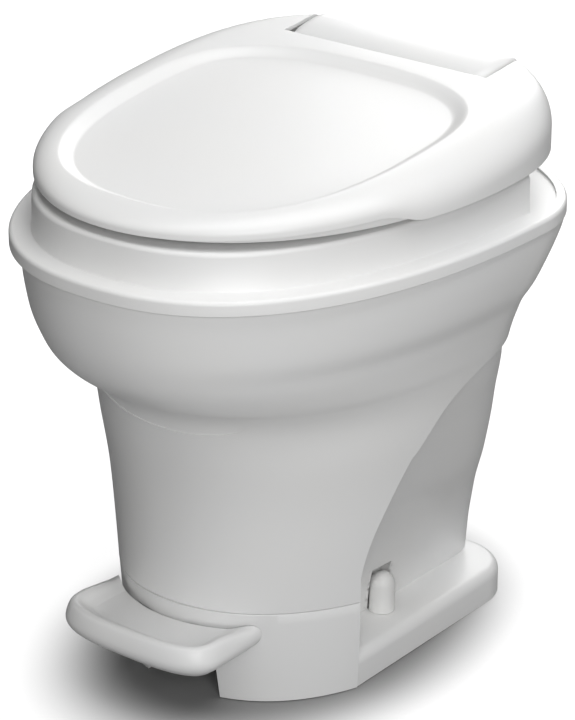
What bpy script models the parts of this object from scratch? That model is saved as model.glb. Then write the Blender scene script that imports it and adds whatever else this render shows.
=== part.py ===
"""A floor-standing plastic toilet for a caravan, with a gravity flush worked by a foot pedal.

The front of the toilet looks towards -Y, +Z is up, and the floor is the plane z = 0.
All lengths are in metres. A piece's small sizes stand next to the sizes that drive it.
"""

import math

import bmesh
import bpy
from mathutils import Matrix, Vector

for old in list(bpy.data.objects):
    bpy.data.objects.remove(old, do_unlink=True)

# Clearances
GAP = 0.0003
OVERRUN = 0.02
RUNNING_GAP = 0.0003

# Rim: the widest ring of the toilet, seen from above
RIM_HALF_WIDTH = 0.1925
RIM_CENTRE_Y = 0.080
RIM_FRONT_Y = -0.235
RIM_REAR_Y = 0.210
RIM_FRONT_POWER = 2.34
RIM_REAR_POWER = 2.0

# Heights from the floor
DECK_HEIGHT = 0.408
DECK_OVER_SHROUD = 0.042
LIP_HEIGHT = 0.0117
TOE_TOP = 0.0837

# Rim deck: lip, step wall, flat deck and the opening in it
LIP_ROUND = 0.0034
STEP_INSET = 0.0175
STEP_ROUND = 0.0035
STEP_FILLET = 0.0012
STEP_DRAFT = 0.0010
DECK_WALL = 0.004
OPENING_HALF_WIDTH = 0.128
OPENING_CENTRE_Y = 0.0
OPENING_FRONT_Y = -0.185
OPENING_REAR_Y = 0.108
OPENING_POWER = 2.3
OPENING_LIP_DROP = 0.016
SOLID_REAR_Y = 0.060
SOLID_TURN = math.radians(-10.0)
SCOOP_FRONT_Y = 0.078
SCOOP_INNER_Y = 0.104
SCOOP_LIP_INSET = 0.0085
SCOOP_DEPTH_BELOW_LIP = 0.002
SCOOP_ROUND = 0.012

# Shroud: the front shell from the toe panel up to the rim
SHROUD_WALL = 0.0028
SHROUD_HEIGHT_SHARES = (
    0.0, 0.27, 0.44, 0.535, 0.585, 0.625, 0.655,
    0.69, 0.73, 0.775, 0.83, 0.90, 0.96, 1.0
)
SHROUD_WIDTH_SHARES = (
    0.708, 0.747, 0.780, 0.798, 0.812, 0.826, 0.838,
    0.851, 0.868, 0.890, 0.932, 0.962, 0.978, 0.982
)
SHROUD_FRONT_SHARES = (
    0.633, 0.631, 0.645, 0.661, 0.690, 0.745, 0.806,
    0.860, 0.905, 0.936, 0.958, 0.973, 0.981, 0.985
)
SHROUD_REAR_SHARES = (
    0.76, 0.77, 0.775, 0.775, 0.775, 0.775, 0.775,
    0.775, 0.775, 0.78, 0.80, 0.855, 0.93, 0.975
)
SHROUD_CENTRE_SHARES = (
    0.62, 0.62, 0.62, 0.62, 0.62, 0.62, 0.62,
    0.64, 0.68, 0.73, 0.80, 0.90, 0.97, 1.0
)
SHROUD_POWER = 2.2
SHROUD_FOOT_POWER = 2.05
SHROUD_POWER_LEVELS = 2

# The swept edge that ends the shroud and the toe panel at the back, as (y, z)
SEAM_FOOT_Y = -0.0500
SEAM_ANKLE_Y = -0.0530
SEAM_KNEE_Y = -0.0150
SEAM_HEEL_Y = 0.0760
SEAM_END_Y = 0.1500
SEAM_HEIGHT = 0.2700

# Toe panel: the low front piece with the slot for the pedal
TOE_DROP = 0.0052
TOE_DROP_POWER = 0.6
TOE_GAP = 0.0008
TOE_HALF_WIDTH = 0.1370
TOE_FLOOR_HALF_WIDTH = 0.1280
TOE_CENTRE_Y = 0.049
TOE_FRONT_Y = -0.1500
TOE_FLOOR_FRONT_Y = -0.1340
TOE_REAR_Y = 0.120
TOE_POWER = 2.0
TOE_FLOOR_POWER = 2.29
TOE_WALL = 0.0032
TOE_LEDGE = 0.0095
TOE_LEDGE_HEIGHT = 0.003
TOE_RETURN_Y = -0.0560
TOE_RETURN_THICKNESS = 0.0025
TOE_RETURN_GAP = 0.0010
TOE_RETURN_BOTTOM = 0.001
PEDAL_SLOT_HALF_WIDTH = 0.037
PEDAL_SLOT_HEIGHT = 0.0664

# Base: the foot flange that is bolted to the floor, and the column behind the shroud
FLANGE_HALF_WIDTH = 0.1125
FLANGE_FRONT_Y = -0.0495
FLANGE_REAR_Y = 0.178
FLANGE_HEIGHT = 0.027
FLANGE_CORNER = 0.045
FLANGE_ROUND = 0.009
COLUMN_TOP = 0.2640
COLUMN_WALL = 0.004
COLUMN_FRONT_Y = -0.041
COLUMN_FOOT_FRONT_Y = -0.068
COLUMN_FOOT_TOP = 0.115
COLUMN_NECK_HEIGHT = 0.150
COLUMN_CENTRE_Y = 0.050
COLUMN_FOOT_HALF_WIDTH = 0.0715
COLUMN_HEIGHT_SHARES = (0.0, 0.16, 0.31, 0.47, 0.64, 0.76, 0.90, 1.0)
COLUMN_WIDTH_SHARES = (1.0, 1.10, 1.29, 1.55, 1.76, 1.90, 2.07, 2.155)
COLUMN_REAR_SHARES = (1.0, 0.995, 0.985, 0.955, 0.940, 0.925, 0.915, 0.915)
COLUMN_POWER_SHARES = (1.0, 0.85, 0.62, 0.50, 0.42, 0.37, 0.32, 0.28)
COLUMN_FOOT_POWER = 8.0
COLUMN_REAR_Y = 0.1720
COLUMN_TAPER_SHARES = (0.102, 0.083, 0.066, 0.051, 0.037, 0.025, 0.012, 0.0)
COLUMN_TAPER_Y = 0.10
COLUMN_STRAIGHT_Y = 0.014

# Waste valve: a part ball that turns under the bowl
BALL_Y = 0.020
BALL_Z = 0.095
BALL_RADIUS = 0.054
BALL_WALL = 0.004
BALL_GAP = 0.0015
BALL_HALF_ANGLE = math.radians(48.0)
BALL_POLE_ANGLE = math.radians(11.0)
PASSAGE_RADIUS = 0.038
HOUSING_WALL = 0.005
HOUSING_RISE = 0.046
SPIGOT_RADIUS = 0.0445
SPIGOT_BOTTOM = 0.004
SHAFT_RADIUS = 0.006
HUB_RADIUS = 0.010
BALL_SEAL_OUTER_RADIUS = 0.0457
BALL_SEAL_HEIGHT = 0.0070
FLOOR_SEAL_HEIGHT = 0.006
FLOOR_SEAL_WIDTH = 0.0213
BOWL_WALL = 0.0035

# Pedal, its axle and the gears between the pedal and the ball
PEDAL_AXIS_Y = -0.058
PEDAL_AXIS_Z = 0.060
PEDAL_RATIO = 5.0
PEDAL_TRAVEL = math.radians(18.0)
PINION_TEETH = 12
SECTOR_TEETH_BEHIND = 4
SECTOR_TEETH_AHEAD = 1
SECTOR_HUB_RADIUS = 0.010
TOOTH_ROOT_SHARE = 1.2
TOOTH_TIP_SHARE = 0.9
GEAR_X = 0.0610
GEAR_WIDTH = 0.006
RING_WIDTH = 0.0015
AXLE_RADIUS = 0.004
BUSH_RADIUS = 0.0062
EAR_INNER_X = 0.040
EAR_OUTER_X = 0.052
EAR_REACH = 0.017
EAR_TOP = 0.072
SPRING_RADIUS = 0.0062
SPRING_WIRE_RADIUS = 0.0008
SPRING_TURNS = 3

TREAD_HALF_WIDTH = 0.0750
TREAD_FRONT_Y = -0.206
TREAD_CENTRE_Y = -0.167
TREAD_REAR_Y = -0.040
TREAD_POWER = 3.0
TREAD_BOTTOM = 0.052
TREAD_CREST = 0.078
TREAD_DROP = 0.005
TREAD_DISH = 0.0695
TREAD_WALL = 0.0038
TREAD_RIM = 0.0175
TREAD_PANEL_GAP = 0.0025
TREAD_FOOT_GAP = 0.0120
SCREW_RADIUS = 0.002
LEVER_HALF_WIDTH = 0.017
LEVER_FRONT_Y = -0.182
LEVER_THICKNESS = 0.012

# Lid and seat
LID_HALF_WIDTH = 0.1804
LID_CENTRE_Y = 0.029
LID_FRONT_Y = -0.2146
LID_REAR_Y = 0.199
LID_FRONT_POWER = 2.05
LID_REAR_POWER = 2.6
LID_RISE = 0.0389
LID_SLOPE = 0.0934
LID_EDGE_RISE = 0.0172
LID_EDGE_SLOPE = 0.0473
LID_SKIRT_RISE = 0.004
LID_STEP_FRONT_Y = -0.090
LID_STEP_REAR_Y = -0.048
LID_WALL = 0.003
LID_CROWN_DEPTH = 0.030
LID_CROWN_HALF_WIDTH = 0.1437
LID_CROWN_CENTRE_Y = 0.010
LID_CROWN_FRONT_Y = -0.1909
LID_CROWN_REAR_Y = 0.184
LID_CROWN_FRONT_POWER = 2.5
LID_CROWN_REAR_POWER = 3.2
LID_CROWN_STEPS = 6
DISH_HALF_WIDTH = 0.1407
DISH_CENTRE_Y = -0.001
DISH_FRONT_Y = -0.1879
DISH_REAR_Y = 0.110
DISH_FRONT_POWER = 2.5
DISH_REAR_POWER = 2.8
DISH_DEPTH = 0.006
DISH_BLEND = 0.014

SEAT_INSET = 0.0075
SEAT_REAR_Y = 0.112
SEAT_RISE = 0.0035
SEAT_FRONT_THICKNESS = 0.0075
SEAT_SLOPE = 0.050
SEAT_ROUND = 0.004
SEAT_HOLE_HALF_WIDTH = 0.105
SEAT_HOLE_CENTRE_Y = -0.030
SEAT_HOLE_FRONT_Y = -0.155
SEAT_HOLE_REAR_Y = 0.085
SEAT_HOLE_POWER = 2.1
BUFFER_RADIUS = 0.006
BUFFER_FRONT_TURN = math.radians(58.0)
BUFFER_REAR_TURN = math.radians(100.0)
LID_BUFFER_TURN = math.radians(95.0)
LID_BUFFER_RADIUS = 0.006

# Hinge of the seat and the lid
HINGE_Y = 0.165
HINGE_RISE = 0.035
HINGE_PIN_RADIUS = 0.004
HINGE_BLOCK_HALF_WIDTH = 0.0975
COVER_HALF_WIDTH = 0.0965
COVER_AHEAD_OF_PIN = 0.0345
COVER_BEHIND_PIN = 0.0240
COVER_RISE = 0.057
COVER_WALL = 0.0025
LID_NOTCH_HALF_WIDTH = 0.1000
NOTCH_AHEAD_OF_PIN = 0.0365
LUG_INNER_X = 0.0990
LUG_WIDTH = 0.009
LUG_RADIUS = 0.0090
LID_EAR_GAP = 0.0007
LID_EAR_WIDTH = 0.008
LID_EAR_RELIEF = 0.002
SADDLE_X = 0.070
SADDLE_HALF_WIDTH = 0.012
SADDLE_DEPTH = 0.030
SADDLE_ROUND = 0.002
HINGE_BOLT_RADIUS = 0.003
WASHER_THICKNESS = 0.001

# Fasteners that hold the base to the floor
FLOOR_BOLT_X = 0.080
FLOOR_BOLT_Y = 0.027
FLOOR_BOLT_RADIUS = 0.0035
FLOOR_BOLT_TOP = 0.046
FLOOR_BOLT_BOTTOM = 0.001
FLOOR_NUT_RADIUS = 0.0058
FLOOR_NUT_HEIGHT = 0.005
FLOOR_WASHER_RADIUS = 0.0078
CAP_RADIUS = 0.0107
CAP_HEIGHT = 0.034
CAP_WALL = 0.0016
CAP_POCKET_GAP = 0.0012
CAP_POCKET_WALL = 0.003

# Water side
HOSE_RADIUS = 0.006
INLET_X = -0.040
INLET_Z = 0.110
INLET_RADIUS = 0.0105
VALVE_Z = 0.148
VALVE_HALF_HEIGHT = 0.016
STEM_RADIUS = 0.003
STEM_GAP = 0.0006
CAM_X = 0.0655
CAM_WIDTH = 0.006
CAM_RADIUS = 0.012
CAM_LIFT = 0.007
BREAKER_X = -0.070
BREAKER_Y = 0.127
BREAKER_RADIUS = 0.013
BREAKER_LENGTH = 0.050
NOZZLE_X = -0.015
NOZZLE_DROP = 0.063

# Numbers of points and faces
ROUND_POINTS = 48
BODY_SIDES = 36
ROD_SIDES = 16

# Worked out from the sizes above
SHROUD_TOP = DECK_HEIGHT - DECK_OVER_SHROUD
LID_MID_HEIGHT = DECK_HEIGHT + LID_RISE
LID_EDGE_HEIGHT = DECK_HEIGHT + LID_EDGE_RISE
LID_SKIRT_HEIGHT = DECK_HEIGHT + LID_SKIRT_RISE
SEAT_BOTTOM = DECK_HEIGHT + SEAT_RISE
HINGE_Z = DECK_HEIGHT + HINGE_RISE
COVER_TOP = DECK_HEIGHT + COVER_RISE
COVER_FRONT_Y = HINGE_Y - COVER_AHEAD_OF_PIN
COVER_REAR_Y = HINGE_Y + COVER_BEHIND_PIN
LID_NOTCH_Y = HINGE_Y - NOTCH_AHEAD_OF_PIN
NOZZLE_Z = DECK_HEIGHT - NOZZLE_DROP
LIP_TOP = SHROUD_TOP + LIP_HEIGHT + GAP
LIP_BOTTOM = SHROUD_TOP + GAP
SHROUD_BOTTOM = TOE_TOP + GAP
SCOOP_FLOOR = LIP_TOP - SCOOP_DEPTH_BELOW_LIP
HOUSING_RADIUS = BALL_RADIUS + BALL_GAP + HOUSING_WALL
HOUSING_TOP = BALL_Z + HOUSING_RISE
VALVE_X = -CAM_X - CAM_WIDTH / 2
VALVE_RADIUS = -VALVE_X - HOUSING_RADIUS - GAP
BALL_CENTRE = Vector((0, BALL_Y, BALL_Z))
PEDAL_CENTRE = Vector((0, PEDAL_AXIS_Y, PEDAL_AXIS_Z))
HINGE_CENTRE = Vector((0, HINGE_Y, HINGE_Z))

model = bpy.data.collections.new("caravan_toilet")
bpy.context.scene.collection.children.link(model)
cutters = bpy.data.collections.new("cutters")
bpy.context.scene.collection.children.link(cutters)


def finish(name, colour, roughness, metallic=0.0):
    """A plain material with the colour, roughness and metal value of one kind of piece."""
    material = bpy.data.materials.new(name)
    material.use_nodes = True
    shader = material.node_tree.nodes["Principled BSDF"]
    shader.inputs["Base Color"].default_value = (*colour, 1)
    shader.inputs["Roughness"].default_value = roughness
    shader.inputs["Metallic"].default_value = metallic
    return material


WHITE = ((0.86, 0.86, 0.85), 0.18)
INNER_WHITE = ((0.80, 0.80, 0.79), 0.35)
GREY_PLASTIC = ((0.35, 0.36, 0.37), 0.45)
BLACK_RUBBER = ((0.04, 0.04, 0.04), 0.70)
STEEL = ((0.62, 0.62, 0.63), 0.30, 1.0)
PALE_HOSE = ((0.72, 0.74, 0.74), 0.40)


def add(name, mesh_data, look=None):
    """An object with its own material, or a cutter when no look is given."""
    item = bpy.data.objects.new(name, mesh_data)
    if look is None:
        cutters.objects.link(item)
        item.hide_render = True
        item.display_type = "WIRE"
    else:
        model.objects.link(item)
        item.data.materials.append(finish(name, *look))
    return item


def shade(item, degrees=35):
    """Smooth shading with the sharp edges kept."""
    item.data.shade_smooth()
    item.data.set_sharp_from_angle(angle=math.radians(degrees))
    return item


def cut(target, tool, operation="DIFFERENCE"):
    """A Boolean of target and tool."""
    change = target.modifiers.new(operation.lower() + "_" + tool.name, "BOOLEAN")
    change.operation = operation
    change.object = tool
    return target


def join(target, tool):
    """A Boolean union of target and tool."""
    return cut(target, tool, "UNION")


def bevel(item, width, segments=2, angle=math.radians(30)):
    """Rounded edges."""
    change = item.modifiers.new("rounded_edges", "BEVEL")
    change.width = width
    change.segments = segments
    change.limit_method = "ANGLE"
    change.angle_limit = angle
    return item


def power(value, exponent):
    """A signed power."""
    return math.copysign(abs(value) ** exponent, value)


class Outline:
    """An egg seen from above: its half width, the y of its widest place, and its front and rear ends."""

    def __init__(self, half_width, centre_y, front_y, rear_y, front_power, rear_power):
        self.half_width = half_width
        self.centre_y = centre_y
        self.front = centre_y - front_y
        self.rear = rear_y - centre_y
        self.front_power = front_power
        self.rear_power = rear_power

    def point(self, turn):
        """The point at an angle, which runs from +X over the rear."""
        rearward = math.sin(turn) >= 0
        exponent = 2 / (self.rear_power if rearward else self.front_power)
        reach = self.rear if rearward else self.front
        x = self.half_width * power(math.cos(turn), exponent)
        y = self.centre_y + reach * power(math.sin(turn), exponent)
        return Vector((x, y))

    def inset(self, turn, distance):
        """The point at an angle, moved inwards."""
        step = 0.01
        along = self.point(turn + step) - self.point(turn - step)
        inward = Vector((-along.y, along.x)).normalized()
        return self.point(turn) + inward * distance


def turns(count=ROUND_POINTS):
    """The angles of a ring's points."""
    return [math.tau * k / count for k in range(count)]


def ring(outline, distance, level):
    """The points of an outline moved inwards, at a height or at a height worked out from x and y."""
    points = []
    for turn in turns():
        spot = outline.inset(turn, distance)
        height = level(spot.x, spot.y) if callable(level) else level
        points.append(Vector((spot.x, spot.y, height)))
    return points


def loft(name, rings, look=None, joined=False):
    """Rings of equally many points joined by faces, either closed at both ends or last ring to first."""
    shell = bmesh.new()
    rows = [[shell.verts.new(point) for point in points] for points in rings]
    pairs = list(zip(rows, rows[1:]))
    if joined:
        pairs.append((rows[-1], rows[0]))
    else:
        shell.faces.new(rows[0])
        shell.faces.new(rows[-1])
    for low, high in pairs:
        for k in range(len(low)):
            after = (k + 1) % len(low)
            shell.faces.new((low[k], low[after], high[after], high[k]))
    bmesh.ops.recalc_face_normals(shell, faces=shell.faces)
    data = bpy.data.meshes.new(name)
    shell.to_mesh(data)
    shell.free()
    return shade(add(name, data, look))


def box(name, low, high, look=None, round_width=0.0):
    """A block between two corners."""
    low = Vector(low)
    high = Vector(high)
    block = bmesh.new()
    bmesh.ops.create_cube(block, size=1)
    for vert in block.verts:
        for axis in range(3):
            vert.co[axis] = high[axis] if vert.co[axis] > 0 else low[axis]
    data = bpy.data.meshes.new(name)
    block.to_mesh(data)
    block.free()
    item = add(name, data, look)
    if round_width:
        bevel(item, round_width)
    return item


def rod(name, start, end, radius, look=None, sides=ROD_SIDES, end_radius=None):
    """A round bar, or a cone, between two points."""
    start = Vector(start)
    end = Vector(end)
    bar = bmesh.new()
    bmesh.ops.create_cone(
        bar,
        cap_ends=True,
        segments=sides,
        radius1=radius,
        radius2=radius if end_radius is None else end_radius,
        depth=(end - start).length,
    )
    turn = Vector((0, 0, 1)).rotation_difference(end - start).to_matrix()
    bmesh.ops.rotate(bar, verts=bar.verts, matrix=turn)
    bmesh.ops.translate(bar, verts=bar.verts, vec=(start + end) / 2)
    data = bpy.data.meshes.new(name)
    bar.to_mesh(data)
    bar.free()
    return shade(add(name, data, look))


def turned(name, profile, centre, look=None, sides=ROD_SIDES, along_x=False):
    """A closed profile of (radius, height) turned about an axis, its outer side first, from the top down."""
    shape = bmesh.new()
    verts = [shape.verts.new((radius, 0, height)) for radius, height in profile]
    for first, second in zip(verts, verts[1:] + verts[:1]):
        shape.edges.new((first, second))
    data = bpy.data.meshes.new(name)
    shape.to_mesh(data)
    shape.free()
    item = add(name, data, look)
    item.location = centre
    if along_x:
        item.rotation_euler = (0, math.pi / 2, 0)
    screw = item.modifiers.new("turn", "SCREW")
    screw.steps = sides
    screw.render_steps = sides
    screw.use_merge_vertices = True
    screw.merge_threshold = 0.00001
    screw.use_smooth_shade = True
    return item


def sleeve(name, centre, outer, inner, length, look, along_x=False, sides=ROD_SIDES):
    """A short tube that stands on its centre point."""
    profile = [(outer, length), (outer, 0), (inner, 0), (inner, length)]
    return turned(name, profile, centre, look, sides, along_x)


def plate(name, points, low_x, high_x, look=None):
    """A flat outline of (y, z) points that is as thick as the way from low_x to high_x."""
    sheet = bmesh.new()
    face = sheet.faces.new([sheet.verts.new((low_x, y, z)) for y, z in points])
    grown = bmesh.ops.extrude_face_region(sheet, geom=[face])
    moved = [part for part in grown["geom"] if isinstance(part, bmesh.types.BMVert)]
    bmesh.ops.translate(sheet, verts=moved, vec=(high_x - low_x, 0, 0))
    bmesh.ops.recalc_face_normals(sheet, faces=sheet.faces)
    data = bpy.data.meshes.new(name)
    sheet.to_mesh(data)
    sheet.free()
    return shade(add(name, data, look))


def slab(name, points, low_z, high_z, look=None):
    """A flat outline of (x, y) points that reaches from low_z to high_z."""
    sheet = bmesh.new()
    face = sheet.faces.new([sheet.verts.new((x, y, low_z)) for x, y in points])
    grown = bmesh.ops.extrude_face_region(sheet, geom=[face])
    moved = [part for part in grown["geom"] if isinstance(part, bmesh.types.BMVert)]
    bmesh.ops.translate(sheet, verts=moved, vec=(0, 0, high_z - low_z))
    bmesh.ops.recalc_face_normals(sheet, faces=sheet.faces)
    data = bpy.data.meshes.new(name)
    sheet.to_mesh(data)
    sheet.free()
    return shade(add(name, data, look))


def arc(centre, radius, start, end, count):
    """Points on an arc about a centre, from one angle to another."""
    points = []
    for k in range(count + 1):
        turn = start + (end - start) * k / count
        points.append((centre[0] + radius * math.cos(turn), centre[1] + radius * math.sin(turn)))
    return points


def smooth(points, between=3):
    """More points on a smooth curve through the given ones."""
    path = []
    last = len(points) - 1
    for k in range(last):
        before = Vector(points[max(k - 1, 0)])
        first = Vector(points[k])
        second = Vector(points[k + 1])
        after = Vector(points[min(k + 2, last)])
        for step in range(between):
            t = step / between
            path.append(
                0.5 * (2 * first + (second - before) * t
                       + (2 * before - 5 * first + 4 * second - after) * t ** 2
                       + (3 * first - before - 3 * second + after) * t ** 3)
            )
    path.append(Vector(points[last]))
    return path


def spun(name, profile, centre, look=None, sides=ROD_SIDES):
    """A round piece of level rings, each a (radius, height) about an upright axis, closed at both ends."""
    rings = []
    for radius, height in profile:
        rings.append([
            Vector(centre) + Vector((radius * math.cos(turn), radius * math.sin(turn), height))
            for turn in turns(sides)
        ])
    return loft(name, rings, look)


def hose(name, start, points, end):
    """A water hose: straight off each port, and smooth through the points between."""
    return wire(name, [start] + smooth(points) + [end], HOSE_RADIUS, PALE_HOSE)


def wire(name, path, radius, look):
    """A round wire along a path."""
    line = bpy.data.curves.new(name, "CURVE")
    line.dimensions = "3D"
    spline = line.splines.new("POLY")
    spline.points.add(len(path) - 1)
    for spot, place in zip(spline.points, path):
        spot.co = (*place, 1)
    line.bevel_depth = radius
    line.bevel_resolution = 2
    line.use_fill_caps = True
    item = bpy.data.objects.new(name, line)
    model.objects.link(item)
    line.materials.append(finish(name, *look))
    return item


def at(share, low, high):
    """The value at a share of the way from low to high."""
    return low + (high - low) * share


rim_outline = Outline(RIM_HALF_WIDTH, RIM_CENTRE_Y, RIM_FRONT_Y, RIM_REAR_Y, RIM_FRONT_POWER, RIM_REAR_POWER)
opening_outline = Outline(
    OPENING_HALF_WIDTH, OPENING_CENTRE_Y, OPENING_FRONT_Y, OPENING_REAR_Y, OPENING_POWER, OPENING_POWER
)
lid_outline = Outline(
    LID_HALF_WIDTH, LID_CENTRE_Y, LID_FRONT_Y, LID_REAR_Y, LID_FRONT_POWER, LID_REAR_POWER
)
crown_outline = Outline(
    LID_CROWN_HALF_WIDTH, LID_CROWN_CENTRE_Y, LID_CROWN_FRONT_Y, LID_CROWN_REAR_Y, LID_CROWN_FRONT_POWER,
    LID_CROWN_REAR_POWER
)
dish_outline = Outline(
    DISH_HALF_WIDTH, DISH_CENTRE_Y, DISH_FRONT_Y, DISH_REAR_Y, DISH_FRONT_POWER, DISH_REAR_POWER
)
tread_outline = Outline(
    TREAD_HALF_WIDTH, TREAD_CENTRE_Y, TREAD_FRONT_Y, TREAD_REAR_Y, TREAD_POWER, TREAD_POWER
)


def rim_deck():
    """The top ring: a lip, a step wall and a flat deck round the bowl, with a scoop at each rear corner."""
    deck_under = DECK_HEIGHT - DECK_WALL
    lip_under = LIP_TOP - DECK_WALL
    deck_edge = STEP_INSET + STEP_DRAFT + STEP_ROUND
    corner_share = 0.3

    def under(outline, distance):
        """A ring of the underside, which lies lower behind, where the hinge and the scoops are."""
        points = []
        for turn in turns():
            spot = outline.inset(turn, distance)
            behind = math.sin(turn) > math.sin(SOLID_TURN)
            points.append(Vector((spot.x, spot.y, lip_under - GAP if behind else deck_under)))
        return points

    rings = [
        ring(rim_outline, 0, LIP_BOTTOM),
        ring(rim_outline, 0, LIP_TOP - LIP_ROUND),
        ring(rim_outline, LIP_ROUND * corner_share, LIP_TOP - LIP_ROUND * corner_share),
        ring(rim_outline, LIP_ROUND, LIP_TOP),
        ring(rim_outline, STEP_INSET - STEP_FILLET, LIP_TOP),
        ring(rim_outline, STEP_INSET, LIP_TOP + STEP_FILLET),
        ring(rim_outline, deck_edge - STEP_ROUND, DECK_HEIGHT - STEP_ROUND),
        ring(rim_outline, deck_edge - STEP_ROUND * (1 - corner_share),
             DECK_HEIGHT - STEP_ROUND * corner_share),
        ring(rim_outline, deck_edge, DECK_HEIGHT),
        ring(opening_outline, -STEP_ROUND, DECK_HEIGHT),
        ring(opening_outline, 0, DECK_HEIGHT - STEP_ROUND),
        ring(opening_outline, 0, DECK_HEIGHT - OPENING_LIP_DROP),
        ring(opening_outline, -DECK_WALL, DECK_HEIGHT - OPENING_LIP_DROP),
        under(opening_outline, -DECK_WALL),
        under(rim_outline, STEP_INSET + DECK_WALL),
        ring(rim_outline, STEP_INSET + DECK_WALL, lip_under),
        ring(rim_outline, DECK_WALL, lip_under),
        ring(rim_outline, DECK_WALL, LIP_BOTTOM),
    ]
    deck = loft("rim_deck", rings, WHITE, joined=True)
    for side in (-1, 1):
        name = "left" if side < 0 else "right"
        cut(deck, scoop(side, name))
        cut(deck, rod("hinge_bolt_hole_" + name, (side * SADDLE_X, HINGE_Y, SHROUD_TOP - OVERRUN),
                      (side * SADDLE_X, HINGE_Y, DECK_HEIGHT + OVERRUN), HINGE_BOLT_RADIUS + RUNNING_GAP))
    return deck


def scoop(side, name):
    """The hollow beside the hinge block that the lid's rear corner swings into."""
    wide = RIM_HALF_WIDTH - SCOOP_LIP_INSET
    start = math.asin((SCOOP_FRONT_Y - RIM_CENTRE_Y) / (RIM_CENTRE_Y - RIM_FRONT_Y))
    end = math.acos(HINGE_BLOCK_HALF_WIDTH / wide)
    outer_steps = 10
    outer = []
    for k in range(outer_steps + 1):
        spot = rim_outline.inset(at(k / outer_steps, start, end), SCOOP_LIP_INSET)
        outer.append((spot.x, spot.y))
    inner_shares = ((0.0, 2.2), (0.0, 1.35), (0.08, 1.05), (0.30, 0.86), (0.65, 0.50), (0.88, 0.18))
    inner = [
        (at(across, HINGE_BLOCK_HALF_WIDTH, outer[0][0]), at(back, SCOOP_FRONT_Y, SCOOP_INNER_Y))
        for across, back in inner_shares
    ]
    outline = [(side * x, y) for x, y in outer + inner]
    floor = slab("scoop_" + name, outline, SCOOP_FLOOR, DECK_HEIGHT + OVERRUN)
    lower_edges(floor, SCOOP_FLOOR)
    change = floor.modifiers.new("rounded_floor", "BEVEL")
    change.width = SCOOP_ROUND
    change.segments = 3
    change.limit_method = "WEIGHT"
    return floor


def lower_edges(item, level):
    """Gives full bevel weight to the edges that lie at one height, but not to the edges of the lip."""
    weights = item.data.attributes.new("bevel_weight_edge", "FLOAT", "EDGE")
    for edge in item.data.edges:
        ends = [item.data.vertices[index].co for index in edge.vertices]
        level_edge = all(abs(end.z - level) < GAP for end in ends)
        reach = [Vector((end.x, end.y - RIM_CENTRE_Y)).length for end in ends]
        inner_edge = max(reach) < HINGE_BLOCK_HALF_WIDTH * 2
        widest = max(abs(end.x) for end in ends)
        beside_block = widest < RIM_HALF_WIDTH - 2 * SCOOP_LIP_INSET and all(end.y < HINGE_Y for end in ends)
        weights.data[edge.index].value = 1.0 if level_edge and inner_edge and beside_block else 0.0


def shroud_ring(index, distance):
    """One level of the shroud, moved inwards."""
    height = at(SHROUD_HEIGHT_SHARES[index], SHROUD_BOTTOM, SHROUD_TOP)
    exponent = at(min(index / SHROUD_POWER_LEVELS, 1), SHROUD_FOOT_POWER, SHROUD_POWER)
    outline = Outline(
        SHROUD_WIDTH_SHARES[index] * RIM_HALF_WIDTH,
        SHROUD_CENTRE_SHARES[index] * RIM_CENTRE_Y,
        SHROUD_FRONT_SHARES[index] * RIM_FRONT_Y,
        SHROUD_REAR_SHARES[index] * RIM_REAR_Y,
        exponent,
        exponent,
    )
    return ring(outline, distance, above_toe if index == 0 else height)


def above_toe(x, y):
    """The shroud's lower edge, just over the toe panel."""
    return toe_top(x, y) + TOE_GAP


def toe_top(x, y):
    """The upper edge of the toe panel, which falls from the front towards the seam."""
    share = (y - TOE_FRONT_Y) / (SEAM_ANKLE_Y - TOE_FRONT_Y)
    return TOE_TOP - TOE_DROP * min(max(share, 0), 1) ** TOE_DROP_POWER


def seam_curve():
    """The swept rear edge of the shroud, as (y, z) points from the floor up to the back."""
    knee_shares = ((1.02, 0.116), (0.86, 0.268), (0.50, 0.4565), (0.18, 0.601), (0.0, 0.645))
    heel_shares = ((0.27, 0.804), (0.59, 0.906), (1.0, 0.964))
    points = [(SEAM_ANKLE_Y, TOE_TOP)]
    points += [(at(s, SEAM_KNEE_Y, SEAM_ANKLE_Y), at(z, TOE_TOP, SEAM_HEIGHT)) for s, z in knee_shares]
    points += [(at(s, SEAM_KNEE_Y, SEAM_HEEL_Y), at(z, TOE_TOP, SEAM_HEIGHT)) for s, z in heel_shares]
    curve = smooth([(y, z, 0) for y, z in points + [(SEAM_END_Y, SEAM_HEIGHT)]])
    return [(SEAM_FOOT_Y, 0.0)] + [(spot[0], spot[1]) for spot in curve]


def behind_seam(name, shift=0.0):
    """A solid that fills all that lies behind and below the seam."""
    curve = seam_curve()
    far = RIM_REAR_Y + 2 * OVERRUN
    outline = [(y + shift, z) for y, z in curve[1:]]
    outline = [(curve[0][0] + shift, -OVERRUN)] + outline + [(far, SEAM_HEIGHT), (far, -OVERRUN)]
    wide = RIM_HALF_WIDTH + OVERRUN
    return plate(name, outline, -wide, wide)


def front_shroud():
    """The large front shell, full round at the top and open at the back below the seam."""
    count = len(SHROUD_HEIGHT_SHARES)
    outer = [shroud_ring(k, 0) for k in range(count)]
    inner = [shroud_ring(k, SHROUD_WALL) for k in reversed(range(count))]
    shell = loft("front_shroud", outer + inner, WHITE, joined=True)
    return cut(shell, behind_seam("seam_of_shroud"))


def toe_outline(share, clearance=0.0):
    """The toe panel's outline at a share of its height."""
    return Outline(
        at(share, TOE_FLOOR_HALF_WIDTH, TOE_HALF_WIDTH) + clearance,
        TOE_CENTRE_Y,
        at(share, TOE_FLOOR_FRONT_Y, TOE_FRONT_Y) - clearance,
        TOE_REAR_Y + clearance,
        at(share, TOE_FLOOR_POWER, TOE_POWER),
        at(share, TOE_FLOOR_POWER, TOE_POWER),
    )


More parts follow.
